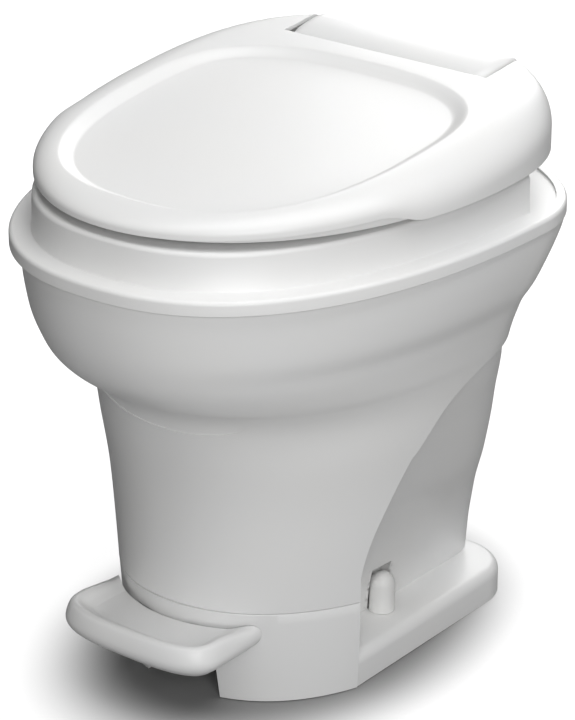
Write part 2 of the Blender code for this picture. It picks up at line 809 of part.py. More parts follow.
def toe_panel():
    """The low curved panel at the front, with a ledge under the shroud and the slot for the pedal's lever."""
    def below_ledge(x, y):
        return toe_top(x, y) - TOE_LEDGE_HEIGHT

    rings = [
        ring(toe_outline(0), 0, 0.0),
        ring(toe_outline(1), 0, toe_top),
        ring(toe_outline(1), TOE_LEDGE, toe_top),
        ring(toe_outline(1), TOE_LEDGE, below_ledge),
        ring(toe_outline(1), TOE_WALL, below_ledge),
        ring(toe_outline(0), TOE_WALL, 0.0),
    ]
    panel = loft("toe_panel", rings, WHITE, joined=True)
    filled = loft("toe_filled", [
        ring(toe_outline(0), TOE_WALL / 2, 0.0),
        ring(toe_outline(1), TOE_WALL / 2, TOE_TOP - TOE_DROP - TOE_LEDGE_HEIGHT / 2),
    ])
    levels = range(len(COLUMN_HEIGHT_SHARES))
    column_foot = [Vector((spot.x, spot.y, -OVERRUN)) for spot in column_ring(0, -TOE_RETURN_GAP)]
    column_room = loft("column_room", [column_foot] + [column_ring(k, -TOE_RETURN_GAP) for k in levels])
    for side in (-1, 1):
        low, high = ordered((side * EAR_OUTER_X, TOE_RETURN_Y, TOE_RETURN_BOTTOM),
                            (side * TOE_HALF_WIDTH, TOE_RETURN_Y + TOE_RETURN_THICKNESS, TOE_TOP))
        return_wall = box("toe_return", low, high)
        cut(return_wall, filled, "INTERSECT")
        cut(return_wall, column_room)
        join(panel, return_wall)
    cut(panel, behind_seam("seam_of_toe_panel"))
    slot = box("pedal_slot", (-PEDAL_SLOT_HALF_WIDTH, TOE_FRONT_Y - OVERRUN, -OVERRUN),
               (PEDAL_SLOT_HALF_WIDTH, TOE_CENTRE_Y, PEDAL_SLOT_HEIGHT))
    return cut(panel, slot)


def column_ring(index, distance):
    """One level of the column behind the shroud."""
    height = at(COLUMN_HEIGHT_SHARES[index], FLANGE_HEIGHT - GAP, COLUMN_TOP)
    exponent = COLUMN_POWER_SHARES[index] * COLUMN_FOOT_POWER
    half_width = COLUMN_WIDTH_SHARES[index] * COLUMN_FOOT_HALF_WIDTH
    rear_y = COLUMN_REAR_SHARES[index] * COLUMN_REAR_Y
    outline = Outline(half_width, COLUMN_CENTRE_Y, TOE_FRONT_Y, rear_y, exponent, exponent)
    points = ring(outline, distance, height)
    for point in points:
        taper_y = max(point.y, COLUMN_STRAIGHT_Y) - COLUMN_TAPER_Y
        point.x *= 1 + COLUMN_TAPER_SHARES[index] * taper_y / COLUMN_REAR_Y
    return points


def rounded_rectangle(half_width, front_y, rear_y, corner):
    """A flat outline with square front corners and round rear ones."""
    steps = 6
    points = [(-half_width, front_y), (half_width, front_y)]
    points += arc((half_width - corner, rear_y - corner), corner, 0, math.pi / 2, steps)
    points += arc((corner - half_width, rear_y - corner), corner, math.pi / 2, math.pi, steps)
    return points


def base():
    """The foot flange and the hollow column on it, one moulding that carries everything else."""
    foot = slab("base", rounded_rectangle(FLANGE_HALF_WIDTH, FLANGE_FRONT_Y, FLANGE_REAR_Y, FLANGE_CORNER),
                0.0, FLANGE_HEIGHT, WHITE)
    weights = foot.data.attributes.new("bevel_weight_edge", "FLOAT", "EDGE")
    for edge in foot.data.edges:
        ends = [foot.data.vertices[index].co for index in edge.vertices]
        top = all(end.z > FLANGE_HEIGHT - GAP for end in ends)
        front = all(end.y < FLANGE_FRONT_Y + GAP for end in ends)
        weights.data[edge.index].value = 1.0 if top and not front else 0.0
    change = foot.modifiers.new("rounded_edges", "BEVEL")
    change.width = FLANGE_ROUND
    change.segments = 3
    change.limit_method = "WEIGHT"

    levels = range(len(COLUMN_HEIGHT_SHARES))
    outer = [column_ring(k, 0) for k in levels]
    inner = [column_ring(k, COLUMN_WALL) for k in reversed(levels)]
    column = loft("column", outer + inner, joined=True)
    open_front = [(RIM_FRONT_Y, -OVERRUN), (COLUMN_FOOT_FRONT_Y, -OVERRUN)]
    open_front += [(COLUMN_FOOT_FRONT_Y, COLUMN_FOOT_TOP), (COLUMN_FRONT_Y, COLUMN_NECK_HEIGHT)]
    open_front += [(COLUMN_FRONT_Y, SHROUD_TOP), (RIM_FRONT_Y, SHROUD_TOP)]
    cut(column, plate("column_front", open_front, -RIM_HALF_WIDTH, RIM_HALF_WIDTH))
    join(foot, column)
    solid = loft("column_solid", outer)
    pocket_radius = CAP_RADIUS + CAP_POCKET_GAP
    pocket_top = FLANGE_HEIGHT + CAP_HEIGHT + CAP_RADIUS / 2
    for side in (-1, 1):
        name = "left" if side < 0 else "right"
        x = side * FLOOR_BOLT_X
        lining = rod("cap_pocket_lining_" + name, (x, FLOOR_BOLT_Y, FLANGE_HEIGHT - FLANGE_ROUND),
                     (x, FLOOR_BOLT_Y, pocket_top + CAP_POCKET_WALL), pocket_radius + CAP_POCKET_WALL)
        cut(lining, solid, "INTERSECT")
        join(foot, lining)
        cut(foot, rod("cap_pocket_" + name, (x, FLOOR_BOLT_Y, FLANGE_HEIGHT),
                      (x, FLOOR_BOLT_Y, pocket_top), pocket_radius))
        ear = box("pedal_ear_" + name, *ordered((side * EAR_INNER_X, PEDAL_AXIS_Y - EAR_REACH, 0.0),
                                                (side * EAR_OUTER_X, FLANGE_FRONT_Y + OVERRUN, EAR_TOP)))
        join(foot, ear)
        cut(foot, rod("floor_bolt_hole_" + name, (x, FLOOR_BOLT_Y, -OVERRUN),
                      (x, FLOOR_BOLT_Y, FLANGE_HEIGHT + OVERRUN), FLOOR_BOLT_RADIUS + RUNNING_GAP))
    outlet = Vector((0, BALL_Y, 0))
    up = Vector((0, 0, 1))
    cut(foot, rod("outlet_hole", outlet - up * OVERRUN, outlet + up * (FLANGE_HEIGHT + OVERRUN),
                  SPIGOT_RADIUS + GAP, sides=BODY_SIDES))
    cut(foot, rod("seal_recess", outlet - up * OVERRUN, outlet + up * FLOOR_SEAL_HEIGHT,
                  SPIGOT_RADIUS + FLOOR_SEAL_WIDTH, sides=BODY_SIDES))
    cut(foot, rod("pedal_bush_bore", (-FLANGE_HALF_WIDTH, PEDAL_AXIS_Y, PEDAL_AXIS_Z),
                  (FLANGE_HALF_WIDTH, PEDAL_AXIS_Y, PEDAL_AXIS_Z), BUSH_RADIUS + GAP))
    inlet_start = (INLET_X, COLUMN_CENTRE_Y + OVERRUN, INLET_Z)
    inlet_end = (INLET_X, COLUMN_REAR_Y + OVERRUN, INLET_Z)
    cut(foot, rod("inlet_hole", inlet_start, inlet_end, INLET_RADIUS + GAP))
    return foot


def ordered(first, second):
    """The lowest and the highest corner of two."""
    low = tuple(min(a, b) for a, b in zip(first, second))
    high = tuple(max(a, b) for a, b in zip(first, second))
    return low, high


def lid_top(x, y):
    """The sloping plane of the lid's top."""
    return LID_MID_HEIGHT + LID_SLOPE * y


def lid_edge(x, y):
    """The lid's lower edge: it slopes at the front and steps down to the deck towards the hinge."""
    share = min(max((y - LID_STEP_FRONT_Y) / (LID_STEP_REAR_Y - LID_STEP_FRONT_Y), 0), 1)
    soft = share * share * (3 - 2 * share)
    return at(soft, LID_EDGE_HEIGHT + LID_EDGE_SLOPE * y, LID_SKIRT_HEIGHT)


def below_top(depth):
    """A level at a depth under the lid's top plane."""
    return lambda x, y: lid_top(x, y) - depth


def crown_ring(share, inward):
    """One ring of the lid's rounded side, from its crest at share 0 to the rounding's foot at share 1."""
    turn = share * math.pi / 2
    points = []
    for angle in turns():
        outer = lid_outline.inset(angle, inward)
        spot = crown_outline.point(angle).lerp(outer, math.sin(turn))
        top = lid_top(spot.x, spot.y)
        foot = max(lid_edge(spot.x, spot.y) + LID_WALL, top - LID_CROWN_DEPTH)
        points.append(Vector((spot.x, spot.y, at(1 - math.cos(turn), top, foot) - inward * math.cos(turn))))
    return points


def lid_skin(inward):
    """The rings of the lid's outer face, or of a face inside its wall, from the dish to the edge."""
    centre_inset = DISH_HALF_WIDTH * 0.45
    rings = [
        ring(dish_outline, centre_inset, below_top(DISH_DEPTH + inward)),
        ring(dish_outline, DISH_BLEND + inward, below_top(DISH_DEPTH + inward)),
        ring(dish_outline, DISH_BLEND * 0.45 + inward, below_top(DISH_DEPTH * 0.75 + inward)),
        ring(dish_outline, inward, below_top(DISH_DEPTH * 0.18 + inward)),
    ]
    rings += [crown_ring(k / LID_CROWN_STEPS, inward) for k in range(LID_CROWN_STEPS + 1)]
    return rings + [ring(lid_outline, inward, lid_edge)]


def lid():
    """The lid: a dished top whose rounded side runs down to the edge, with a notch at the back."""
    cover = loft("lid", lid_skin(0) + list(reversed(lid_skin(LID_WALL))), WHITE)
    filled = loft("lid_filled", lid_skin(LID_WALL / 2))
    ear_inner = LUG_INNER_X + LUG_WIDTH + LID_EAR_GAP
    ear_outer = ear_inner + LID_EAR_WIDTH
    for side in (-1, 1):
        name = "left" if side < 0 else "right"
        low_x, high_x = sorted((side * ear_inner, side * ear_outer))
        top = LID_MID_HEIGHT + OVERRUN
        outline = [(HINGE_Y - LUG_RADIUS, top), (HINGE_Y - LUG_RADIUS, HINGE_Z)]
        outline += arc((HINGE_Y, HINGE_Z), LUG_RADIUS, math.pi, math.tau, 8)[1:]
        outline += [(HINGE_Y + LUG_RADIUS, top)]
        ear = plate("lid_ear_" + name, outline, low_x, high_x)
        join(cover, cut(ear, filled, "INTERSECT"))
    notch = box("hinge_notch", (-LID_NOTCH_HALF_WIDTH, LID_NOTCH_Y, FLANGE_HEIGHT),
                (LID_NOTCH_HALF_WIDTH, LID_REAR_Y + OVERRUN, COVER_TOP + OVERRUN))
    cut(cover, notch)
    relief = box("seat_lug_relief", (GAP - ear_inner, HINGE_Y + LUG_RADIUS + LID_EAR_RELIEF, DECK_HEIGHT),
                 (ear_inner - GAP, LID_REAR_Y + OVERRUN, HINGE_Z))
    cut(cover, relief)
    reach = ear_outer + OVERRUN / 4
    cut(cover, rod("lid_pin_bore", (-reach, HINGE_Y, HINGE_Z), (reach, HINGE_Y, HINGE_Z),
                   HINGE_PIN_RADIUS + RUNNING_GAP))
    return cover


def seat_outline():
    """The outside of the seat ring, a little smaller than the lid."""
    return Outline(LID_HALF_WIDTH - SEAT_INSET, LID_CENTRE_Y, LID_FRONT_Y + SEAT_INSET, SEAT_REAR_Y,
                   LID_FRONT_POWER, LID_REAR_POWER)


def seat_hole():
    """The opening in the seat."""
    return Outline(SEAT_HOLE_HALF_WIDTH, SEAT_HOLE_CENTRE_Y, SEAT_HOLE_FRONT_Y, SEAT_HOLE_REAR_Y,
                   SEAT_HOLE_POWER, SEAT_HOLE_POWER)


def seat_top(x, y):
    """The seat's top, which rises gently towards the hinge."""
    return SEAT_BOTTOM + SEAT_FRONT_THICKNESS + SEAT_SLOPE * (y - LID_FRONT_Y)


def below_seat_top(depth):
    """A level at a depth under the seat's top."""
    return lambda x, y: seat_top(x, y) - depth


def seat():
    """The seat ring with the two lugs that hang on the hinge pin."""
    outside = seat_outline()
    hole = seat_hole()
    soft = SEAT_ROUND
    rings = [
        ring(outside, soft * 0.5, SEAT_BOTTOM),
        ring(outside, 0, SEAT_BOTTOM + soft * 0.5),
        ring(outside, 0, below_seat_top(soft)),
        ring(outside, soft * 0.3, below_seat_top(soft * 0.3)),
        ring(outside, soft, seat_top),
        ring(hole, -soft * 3, seat_top),
        ring(hole, -soft * 0.8, below_seat_top(soft * 0.8)),
        ring(hole, 0, below_seat_top(soft * 1.6)),
        ring(hole, 0, SEAT_BOTTOM + soft * 0.5),
        ring(hole, -soft * 0.5, SEAT_BOTTOM),
    ]
    seat_ring = loft("seat", rings, WHITE, joined=True)
    root_y = SEAT_REAR_Y - LUG_RADIUS
    low = SEAT_BOTTOM + soft * 0.3
    high = seat_top(0, root_y) - soft * 0.3
    for side in (-1, 1):
        name = "left" if side < 0 else "right"
        low_x, high_x = sorted((side * LUG_INNER_X, side * (LUG_INNER_X + LUG_WIDTH)))
        outline = [(root_y, high), (root_y, low), (SEAT_REAR_Y + soft, low + soft)]
        outline += [(HINGE_Y - LUG_RADIUS * 1.3, HINGE_Z - LUG_RADIUS)]
        outline += arc((HINGE_Y, HINGE_Z), LUG_RADIUS, -math.pi / 2, math.pi * 0.6, 9)
        join(seat_ring, plate("seat_lug_" + name, outline, low_x, high_x))
    reach = LUG_INNER_X + LUG_WIDTH + OVERRUN / 4
    cut(seat_ring, rod("seat_pin_bore", (-reach, HINGE_Y, HINGE_Z), (reach, HINGE_Y, HINGE_Z),
                       HINGE_PIN_RADIUS + RUNNING_GAP))
    return seat_ring


def seat_buffers():
    """Four rubber pads under the seat, over the middle of the deck."""
    deck_edge = STEP_INSET + STEP_DRAFT + STEP_ROUND
    across_share = 0.25
    names = ("front_left", "front_right", "rear_left", "rear_right")
    places = (-BUFFER_FRONT_TURN, BUFFER_FRONT_TURN, -BUFFER_REAR_TURN, BUFFER_REAR_TURN)
    for name, turn in zip(names, places):
        angle = turn - math.pi / 2
        inner_spot = opening_outline.inset(angle, -STEP_ROUND)
        deck_spot = inner_spot.lerp(rim_outline.inset(angle, deck_edge), across_share)
        rod("seat_buffer_" + name, (deck_spot.x, deck_spot.y, DECK_HEIGHT + GAP),
            (deck_spot.x, deck_spot.y, SEAT_BOTTOM - GAP), BUFFER_RADIUS, BLACK_RUBBER)


def lid_buffers():
    """Two rubber posts between the seat and the lid."""
    outside = seat_outline()
    hole = seat_hole()
    across_share = 0.2
    tip_share = 0.8
    for side in (-1, 1):
        name = "left" if side < 0 else "right"
        angle = -math.pi / 2 + side * LID_BUFFER_TURN
        spot = hole.inset(angle, 0).lerp(outside.inset(angle, 0), across_share)
        low = seat_top(0, spot.y + LID_BUFFER_RADIUS) + GAP
        high = lid_top(0, spot.y - LID_BUFFER_RADIUS) - DISH_DEPTH - LID_WALL - GAP
        rod("lid_buffer_" + name, (spot.x, spot.y, low), (spot.x, spot.y, high), LID_BUFFER_RADIUS,
            BLACK_RUBBER, end_radius=LID_BUFFER_RADIUS * tip_share)


def cover_section(shrink=0.0, base=0.0):
    """The outline of the hinge cover as (y, z) points, from its front foot over the top to its rear foot."""
    front = COVER_FRONT_Y + shrink
    rear = COVER_REAR_Y - shrink
    top = COVER_TOP - shrink
    foot = DECK_HEIGHT + GAP + base
    rise = COVER_TOP - LID_MID_HEIGHT - LID_SLOPE * COVER_FRONT_Y
    shares = ((0.0, 1.15), (0.10, 0.72), (0.28, 0.30), (0.45, 0.08), (0.60, 0.0), (0.76, 0.22),
              (0.88, 0.90), (0.96, 2.1), (1.0, 3.8))
    hump = [(at(back, front, rear), top - down * rise) for back, down in shares]
    return [(front, foot)] + hump + [(rear, foot)]


def hinge():
    """The fixed hinge: a cover, two saddles bolted through the deck, and the pin of the seat and the lid."""
    cover = plate("hinge_cover", cover_section(), -COVER_HALF_WIDTH, COVER_HALF_WIDTH, WHITE)
    inner_reach = COVER_HALF_WIDTH - COVER_WALL
    hollow = plate("hinge_cover_hollow", cover_section(COVER_WALL, -OVERRUN), -inner_reach, inner_reach)
    cut(cover, hollow)
    reach = COVER_HALF_WIDTH + OVERRUN
    bore = rod("hinge_pin_bore", (-reach, HINGE_Y, HINGE_Z), (reach, HINGE_Y, HINGE_Z),
               HINGE_PIN_RADIUS + RUNNING_GAP)
    cut(cover, bore)
    pin_reach = LUG_INNER_X + LUG_WIDTH + LID_EAR_GAP + LID_EAR_WIDTH
    rod("hinge_pin", (-pin_reach, HINGE_Y, HINGE_Z), (pin_reach, HINGE_Y, HINGE_Z), HINGE_PIN_RADIUS, STEEL)
    deck_solid_bottom = LIP_TOP - DECK_WALL - GAP
    for side in (-1, 1):
        name = "left" if side < 0 else "right"
        x = side * SADDLE_X
        saddle = box("hinge_saddle_" + name,
                     (x - SADDLE_HALF_WIDTH, HINGE_Y - SADDLE_DEPTH / 2, DECK_HEIGHT + GAP),
                     (x + SADDLE_HALF_WIDTH, HINGE_Y + SADDLE_DEPTH / 2, HINGE_Z + LUG_RADIUS),
                     INNER_WHITE, round_width=SADDLE_ROUND)
        cut(saddle, bore)
        bolt_top = HINGE_Z - LUG_RADIUS
        cut(saddle, rod("saddle_bolt_bore_" + name, (x, HINGE_Y, DECK_HEIGHT - OVERRUN),
                        (x, HINGE_Y, bolt_top + GAP), HINGE_BOLT_RADIUS + GAP))
        bolt("hinge_bolt_" + name, (x, HINGE_Y), deck_solid_bottom - GAP - WASHER_THICKNESS - GAP, bolt_top,
             HINGE_BOLT_RADIUS)
        sleeve("hinge_washer_" + name, (x, HINGE_Y, deck_solid_bottom - GAP - WASHER_THICKNESS),
               HINGE_BOLT_RADIUS * 2.6, HINGE_BOLT_RADIUS + GAP, WASHER_THICKNESS, STEEL)


def bolt(name, place, seat_level, far_level, radius):
    """An upright hexagon bolt with its head below: the head ends at seat_level and the shank at far_level."""
    x, y = place
    head_height = radius * 1.3
    head_radius = radius * 1.85
    head = rod(name, (x, y, seat_level - head_height), (x, y, seat_level), head_radius, STEEL, sides=6)
    shank = rod(name + "_shank", (x, y, seat_level - head_height / 2), (x, y, far_level), radius)
    return join(head, shank)


def bowl_outline(share):
    """The bowl's outline: the deck opening at share 1 and the round outlet at share 0."""
    power_now = at(share, 2.0, OPENING_POWER)
    return Outline(
        at(share, PASSAGE_RADIUS, OPENING_HALF_WIDTH),
        at(share, BALL_Y, OPENING_CENTRE_Y),
        at(share, BALL_Y - PASSAGE_RADIUS, OPENING_FRONT_Y),
        at(share, BALL_Y + PASSAGE_RADIUS, OPENING_REAR_Y),
        power_now,
        power_now,
    )


def bowl():
    """The bowl: a funnel from under the deck down to the waste valve, with a foot flange on the valve."""
    bottom = HOUSING_TOP + GAP
    top = DECK_HEIGHT - OPENING_LIP_DROP - GAP
    foot = HOUSING_RADIUS - PASSAGE_RADIUS - GAP
    levels = ((1.0, 1.0), (0.86, 0.99), (0.70, 0.94), (0.55, 0.85), (0.40, 0.70), (0.26, 0.48), (0.14, 0.22),
              (0.06, 0.05), (0.0, 0.0))
    inner = [ring(bowl_outline(size), 0, at(height, bottom, top)) for height, size in levels]
    outer = [ring(bowl_outline(0), -foot, bottom), ring(bowl_outline(0), -foot, bottom + BOWL_WALL)]
    outer += [ring(bowl_outline(size), -BOWL_WALL, at(height, bottom, top))
              for height, size in reversed(levels[:-1])]
    shell = loft("bowl", inner + outer, WHITE, joined=True)
    return cut(shell, rod("nozzle_hole", (NOZZLE_X, SOLID_REAR_Y, NOZZLE_Z),
                          (NOZZLE_X, OPENING_REAR_Y + OVERRUN, NOZZLE_Z), HOSE_RADIUS + GAP))


def valve_housing():
    """The round housing of the waste valve, with a spigot down through the base."""
    inner = BALL_RADIUS + BALL_GAP
    seat_radius = BALL_SEAL_OUTER_RADIUS + GAP
    high = math.acos(seat_radius / inner)
    low = -math.acos(PASSAGE_RADIUS / inner)
    steps = 8
    shoulder = FLANGE_HEIGHT + GAP
    profile = [(HOUSING_RADIUS, HOUSING_TOP), (HOUSING_RADIUS, shoulder), (SPIGOT_RADIUS, shoulder),
               (SPIGOT_RADIUS, SPIGOT_BOTTOM), (PASSAGE_RADIUS, SPIGOT_BOTTOM)]
    profile += [(radius, height) for radius, height in arc((0, BALL_Z), inner, low, high, steps)]
    profile += [(seat_radius, HOUSING_TOP)]
    housing = turned("valve_housing", profile, (0, BALL_Y, 0), INNER_WHITE, BODY_SIDES)
    cut(housing, rod("valve_shaft_bore", (-RIM_HALF_WIDTH, BALL_Y, BALL_Z), (RIM_HALF_WIDTH, BALL_Y, BALL_Z),
                     SHAFT_RADIUS + RUNNING_GAP))
    low = HOUSING_TOP - BALL_SEAL_HEIGHT
    profile = [(BALL_SEAL_OUTER_RADIUS, HOUSING_TOP), (BALL_SEAL_OUTER_RADIUS, low),
               (PASSAGE_RADIUS, low), (PASSAGE_RADIUS, HOUSING_TOP)]
    turned("ball_seal", profile, (0, BALL_Y, 0), BLACK_RUBBER, BODY_SIDES)
    sleeve("floor_seal", (0, BALL_Y, 0), SPIGOT_RADIUS + FLOOR_SEAL_WIDTH - GAP, SPIGOT_RADIUS + GAP,
           FLOOR_SEAL_HEIGHT - GAP, BLACK_RUBBER, sides=BODY_SIDES)
    return housing


def waste_ball():
    """The part ball that closes the bowl's outlet: a strip of a sphere with a shaft at each end."""
    inner = BALL_RADIUS - BALL_WALL
    steps = 11
    outer_arc = arc((0, 0), BALL_RADIUS, BALL_POLE_ANGLE, math.pi - BALL_POLE_ANGLE, steps)
    inner_arc = arc((0, 0), inner, BALL_POLE_ANGLE, math.pi - BALL_POLE_ANGLE, steps)
    section = outer_arc + list(reversed(inner_arc))
    turns_count = 10
    rings = []
    for k in range(turns_count + 1):
        tilt = at(k / turns_count, -BALL_HALF_ANGLE, BALL_HALF_ANGLE)
        rings.append([
            Vector((x, BALL_Y + radius * math.sin(tilt), BALL_Z + radius * math.cos(tilt)))
            for x, radius in section
        ])
    ball = loft("waste_ball", rings, WHITE)
    inner_pole = inner * math.cos(BALL_POLE_ANGLE)
    outer_pole = BALL_RADIUS * math.cos(BALL_POLE_ANGLE)
    for side in (-1, 1):
        name = "left" if side < 0 else "right"
        join(ball, rod("ball_hub_" + name, (side * (inner_pole - BALL_WALL), BALL_Y, BALL_Z),
                       (side * (outer_pole - BALL_WALL / 2), BALL_Y, BALL_Z), HUB_RADIUS))
        last_face = CAM_X + CAM_WIDTH if side < 0 else GEAR_X + GEAR_WIDTH
        join(ball, rod("ball_shaft_" + name, (side * inner_pole, BALL_Y, BALL_Z),
                       (side * (last_face + RING_WIDTH + 3 * GAP), BALL_Y, BALL_Z), SHAFT_RADIUS))
    return ball


def tooth(centre, pitch_radius, angle, pitch_angle, module):
    """The corners of one gear tooth as (y, z) points, from root to tip and back."""
    root = pitch_radius - module * TOOTH_ROOT_SHARE
    tip = pitch_radius + module * TOOTH_TIP_SHARE
    flank = ((root, 0.29), (pitch_radius, 0.20), (tip, 0.10))
    corners = [(radius, -half) for radius, half in flank]
    corners += [(radius, half) for radius, half in reversed(flank)]
    points = []
    for radius, half in corners:
        turn = angle + half * pitch_angle
        points.append((centre.y + radius * math.cos(turn), centre.z + radius * math.sin(turn)))
    return points


def gears():
    """The toothed sector on the pedal's axle and the pinion on the ball's shaft."""
    reach = BALL_CENTRE - PEDAL_CENTRE
    toward_ball = math.atan2(reach.z, reach.y)
    pinion_radius = reach.length / (1 + PEDAL_RATIO)
    sector_radius = reach.length - pinion_radius
    module = 2 * pinion_radius / PINION_TEETH
    pinion_pitch = math.tau / PINION_TEETH
    sector_pitch = pinion_pitch / PEDAL_RATIO
    low_x = GEAR_X
    high_x = GEAR_X + GEAR_WIDTH
    half_tooth = 0.5

    points = []
    for k in range(PINION_TEETH):
        turn = toward_ball + math.pi + (k + half_tooth) * pinion_pitch
        points += tooth(BALL_CENTRE, pinion_radius, turn, pinion_pitch, module)
    pinion = plate("drive_pinion", points, low_x, high_x, GREY_PLASTIC)
    cut(pinion, rod("pinion_bore", (low_x - OVERRUN, BALL_Y, BALL_Z), (high_x + OVERRUN, BALL_Y, BALL_Z),
                    SHAFT_RADIUS + GAP))

    centre = (PEDAL_AXIS_Y, PEDAL_AXIS_Z)
    start = toward_ball - (SECTOR_TEETH_BEHIND + half_tooth) * sector_pitch
    end = toward_ball + (SECTOR_TEETH_AHEAD + half_tooth) * sector_pitch
    root = sector_radius - module * TOOTH_ROOT_SHARE
    points = arc(centre, root, start, start, 1)[:1]
    for k in range(-SECTOR_TEETH_BEHIND, SECTOR_TEETH_AHEAD + 1):
        points += tooth(PEDAL_CENTRE, sector_radius, toward_ball + k * sector_pitch, sector_pitch, module)
    points += arc(centre, root, end, end, 1)[:1]
    clear = math.radians(40)
    points += arc(centre, SECTOR_HUB_RADIUS, end + clear, start + math.tau - clear, 12)
    sector = plate("drive_sector", points, low_x, high_x, GREY_PLASTIC)
    cut(sector, rod("sector_bore", (low_x - OVERRUN, *centre), (high_x + OVERRUN, *centre),
                    AXLE_RADIUS + GAP))


def shaft_rings():
    """The spring rings that hold the pinion, the cam and the axle in place."""
    shaft_grip = 1.5
    axle_grip = 1.8
    gear_face = GEAR_X + GEAR_WIDTH + GAP
    cam_face = CAM_X + CAM_WIDTH + GAP
    sleeve("pinion_ring", (gear_face, BALL_Y, BALL_Z), SHAFT_RADIUS * shaft_grip, SHAFT_RADIUS + GAP,
           RING_WIDTH, STEEL, along_x=True)
    sleeve("cam_ring", (-cam_face - RING_WIDTH, BALL_Y, BALL_Z), SHAFT_RADIUS * shaft_grip,
           SHAFT_RADIUS + GAP, RING_WIDTH, STEEL, along_x=True)
    sleeve("axle_ring_left", (-EAR_OUTER_X - GAP - RING_WIDTH, PEDAL_AXIS_Y, PEDAL_AXIS_Z),
           AXLE_RADIUS * axle_grip, AXLE_RADIUS + GAP, RING_WIDTH, STEEL, along_x=True)
    sleeve("axle_ring_right", (gear_face, PEDAL_AXIS_Y, PEDAL_AXIS_Z), AXLE_RADIUS * axle_grip,
           AXLE_RADIUS + GAP, RING_WIDTH, STEEL, along_x=True)


def tread_ring(inset_share, rise_share):
    """One ring of the tread, moved in by a share of its rim; the rim falls at the back."""
    dish_share = (TREAD_DISH - TREAD_BOTTOM) / (TREAD_CREST - TREAD_BOTTOM)
    rim_share = max(rise_share - dish_share, 0) / (1 - dish_share)

    def level(x, y):
        back_share = (y - TREAD_CENTRE_Y) / (TOE_FLOOR_FRONT_Y - TREAD_CENTRE_Y)
        drop = TREAD_DROP * rim_share * min(max(back_share, 0), 1)
        return at(rise_share, TREAD_BOTTOM, TREAD_CREST) - drop

    return ring(tread_outline, TREAD_RIM * inset_share, level)


def scaled(outline, share):
    """The same outline made smaller about its centre."""
    return Outline(outline.half_width * share, outline.centre_y, outline.centre_y - outline.front * share,
                   outline.centre_y + outline.rear * share, outline.front_power, outline.rear_power)


def tread_screw_places():
    """Where the two screws hold the tread on the lever."""
    across_share = 0.55
    y = at(across_share / 2, LEVER_FRONT_Y, TOE_FRONT_Y)
    return (("left", -LEVER_HALF_WIDTH * across_share, y), ("right", LEVER_HALF_WIDTH * across_share, y))


def pedal_tread():
    """The foot pedal: a dished tread with a round raised rim that ends in two horns beside the toe panel."""
    middle = scaled(tread_outline, 0.45)
    dish_share = (TREAD_DISH - TREAD_BOTTOM) / (TREAD_CREST - TREAD_BOTTOM)
    outer_shares = ((1.30, dish_share), (0.95, 0.79), (0.68, 0.94), (0.46, 1.0), (0.20, 0.915), (0.0, 0.52),
                    (0.12, 0.25), (0.55, 0.0))
    inner_shares = ((0.72, 0.04), (0.42, 0.35), (0.40, 0.58), (0.62, 0.84))
    under_shares = ((1.10, 0.64), (1.40, dish_share - TREAD_WALL / (TREAD_CREST - TREAD_BOTTOM)))
    rings = [ring(middle, 0, TREAD_DISH)]
    rings += [tread_ring(*shares) for shares in outer_shares + inner_shares + under_shares]
    rings += [ring(middle, 0, TREAD_DISH - TREAD_WALL)]
    tread = loft("pedal_tread", rings, WHITE)
    back_cut = loft("tread_back_cut", [ring(toe_outline(0, TREAD_FOOT_GAP), 0, 0.0),
                                       ring(toe_outline(1, TREAD_PANEL_GAP), 0, TOE_TOP)])
    cut(tread, back_cut)
    for side, x, y in tread_screw_places():
        cut(tread, rod("tread_screw_bore_" + side, (x, y, TREAD_BOTTOM), (x, y, screw_tip() + GAP),
                       SCREW_RADIUS + GAP))
    return tread


def screw_tip():
    """The height that the pedal's screws reach inside the tread."""
    return TREAD_DISH - TREAD_WALL * 0.4


def pedal_lever():
    """The lever under the tread, with the hub that its axle goes through."""
    top = TREAD_DISH - TREAD_WALL - GAP
    low = top - LEVER_THICKNESS
    centre = (PEDAL_AXIS_Y, PEDAL_AXIS_Z)
    outline = [(LEVER_FRONT_Y, top), (LEVER_FRONT_Y, low), (TOE_FRONT_Y, low)]
    outline += arc(centre, HUB_RADIUS, -math.pi / 2, math.pi * 0.65, 9) + [(TOE_FRONT_Y, top)]
    lever = plate("pedal_lever", outline, -LEVER_HALF_WIDTH, LEVER_HALF_WIDTH, INNER_WHITE)
    hub_reach = EAR_INNER_X - GAP
    hub_share = 0.9
    join(lever, rod("lever_hub", (-hub_reach, *centre), (hub_reach, *centre), HUB_RADIUS * hub_share))
    cut(lever, rod("lever_bore", (-FLANGE_HALF_WIDTH, *centre), (FLANGE_HALF_WIDTH, *centre),
                   AXLE_RADIUS + GAP))
    for side, x, y in tread_screw_places():
        cut(lever, rod("lever_screw_bore_" + side, (x, y, low - OVERRUN), (x, y, top + OVERRUN),
                       SCREW_RADIUS + GAP))
        bolt("pedal_screw_" + side, (x, y), low - GAP, screw_tip(), SCREW_RADIUS)
    return lever


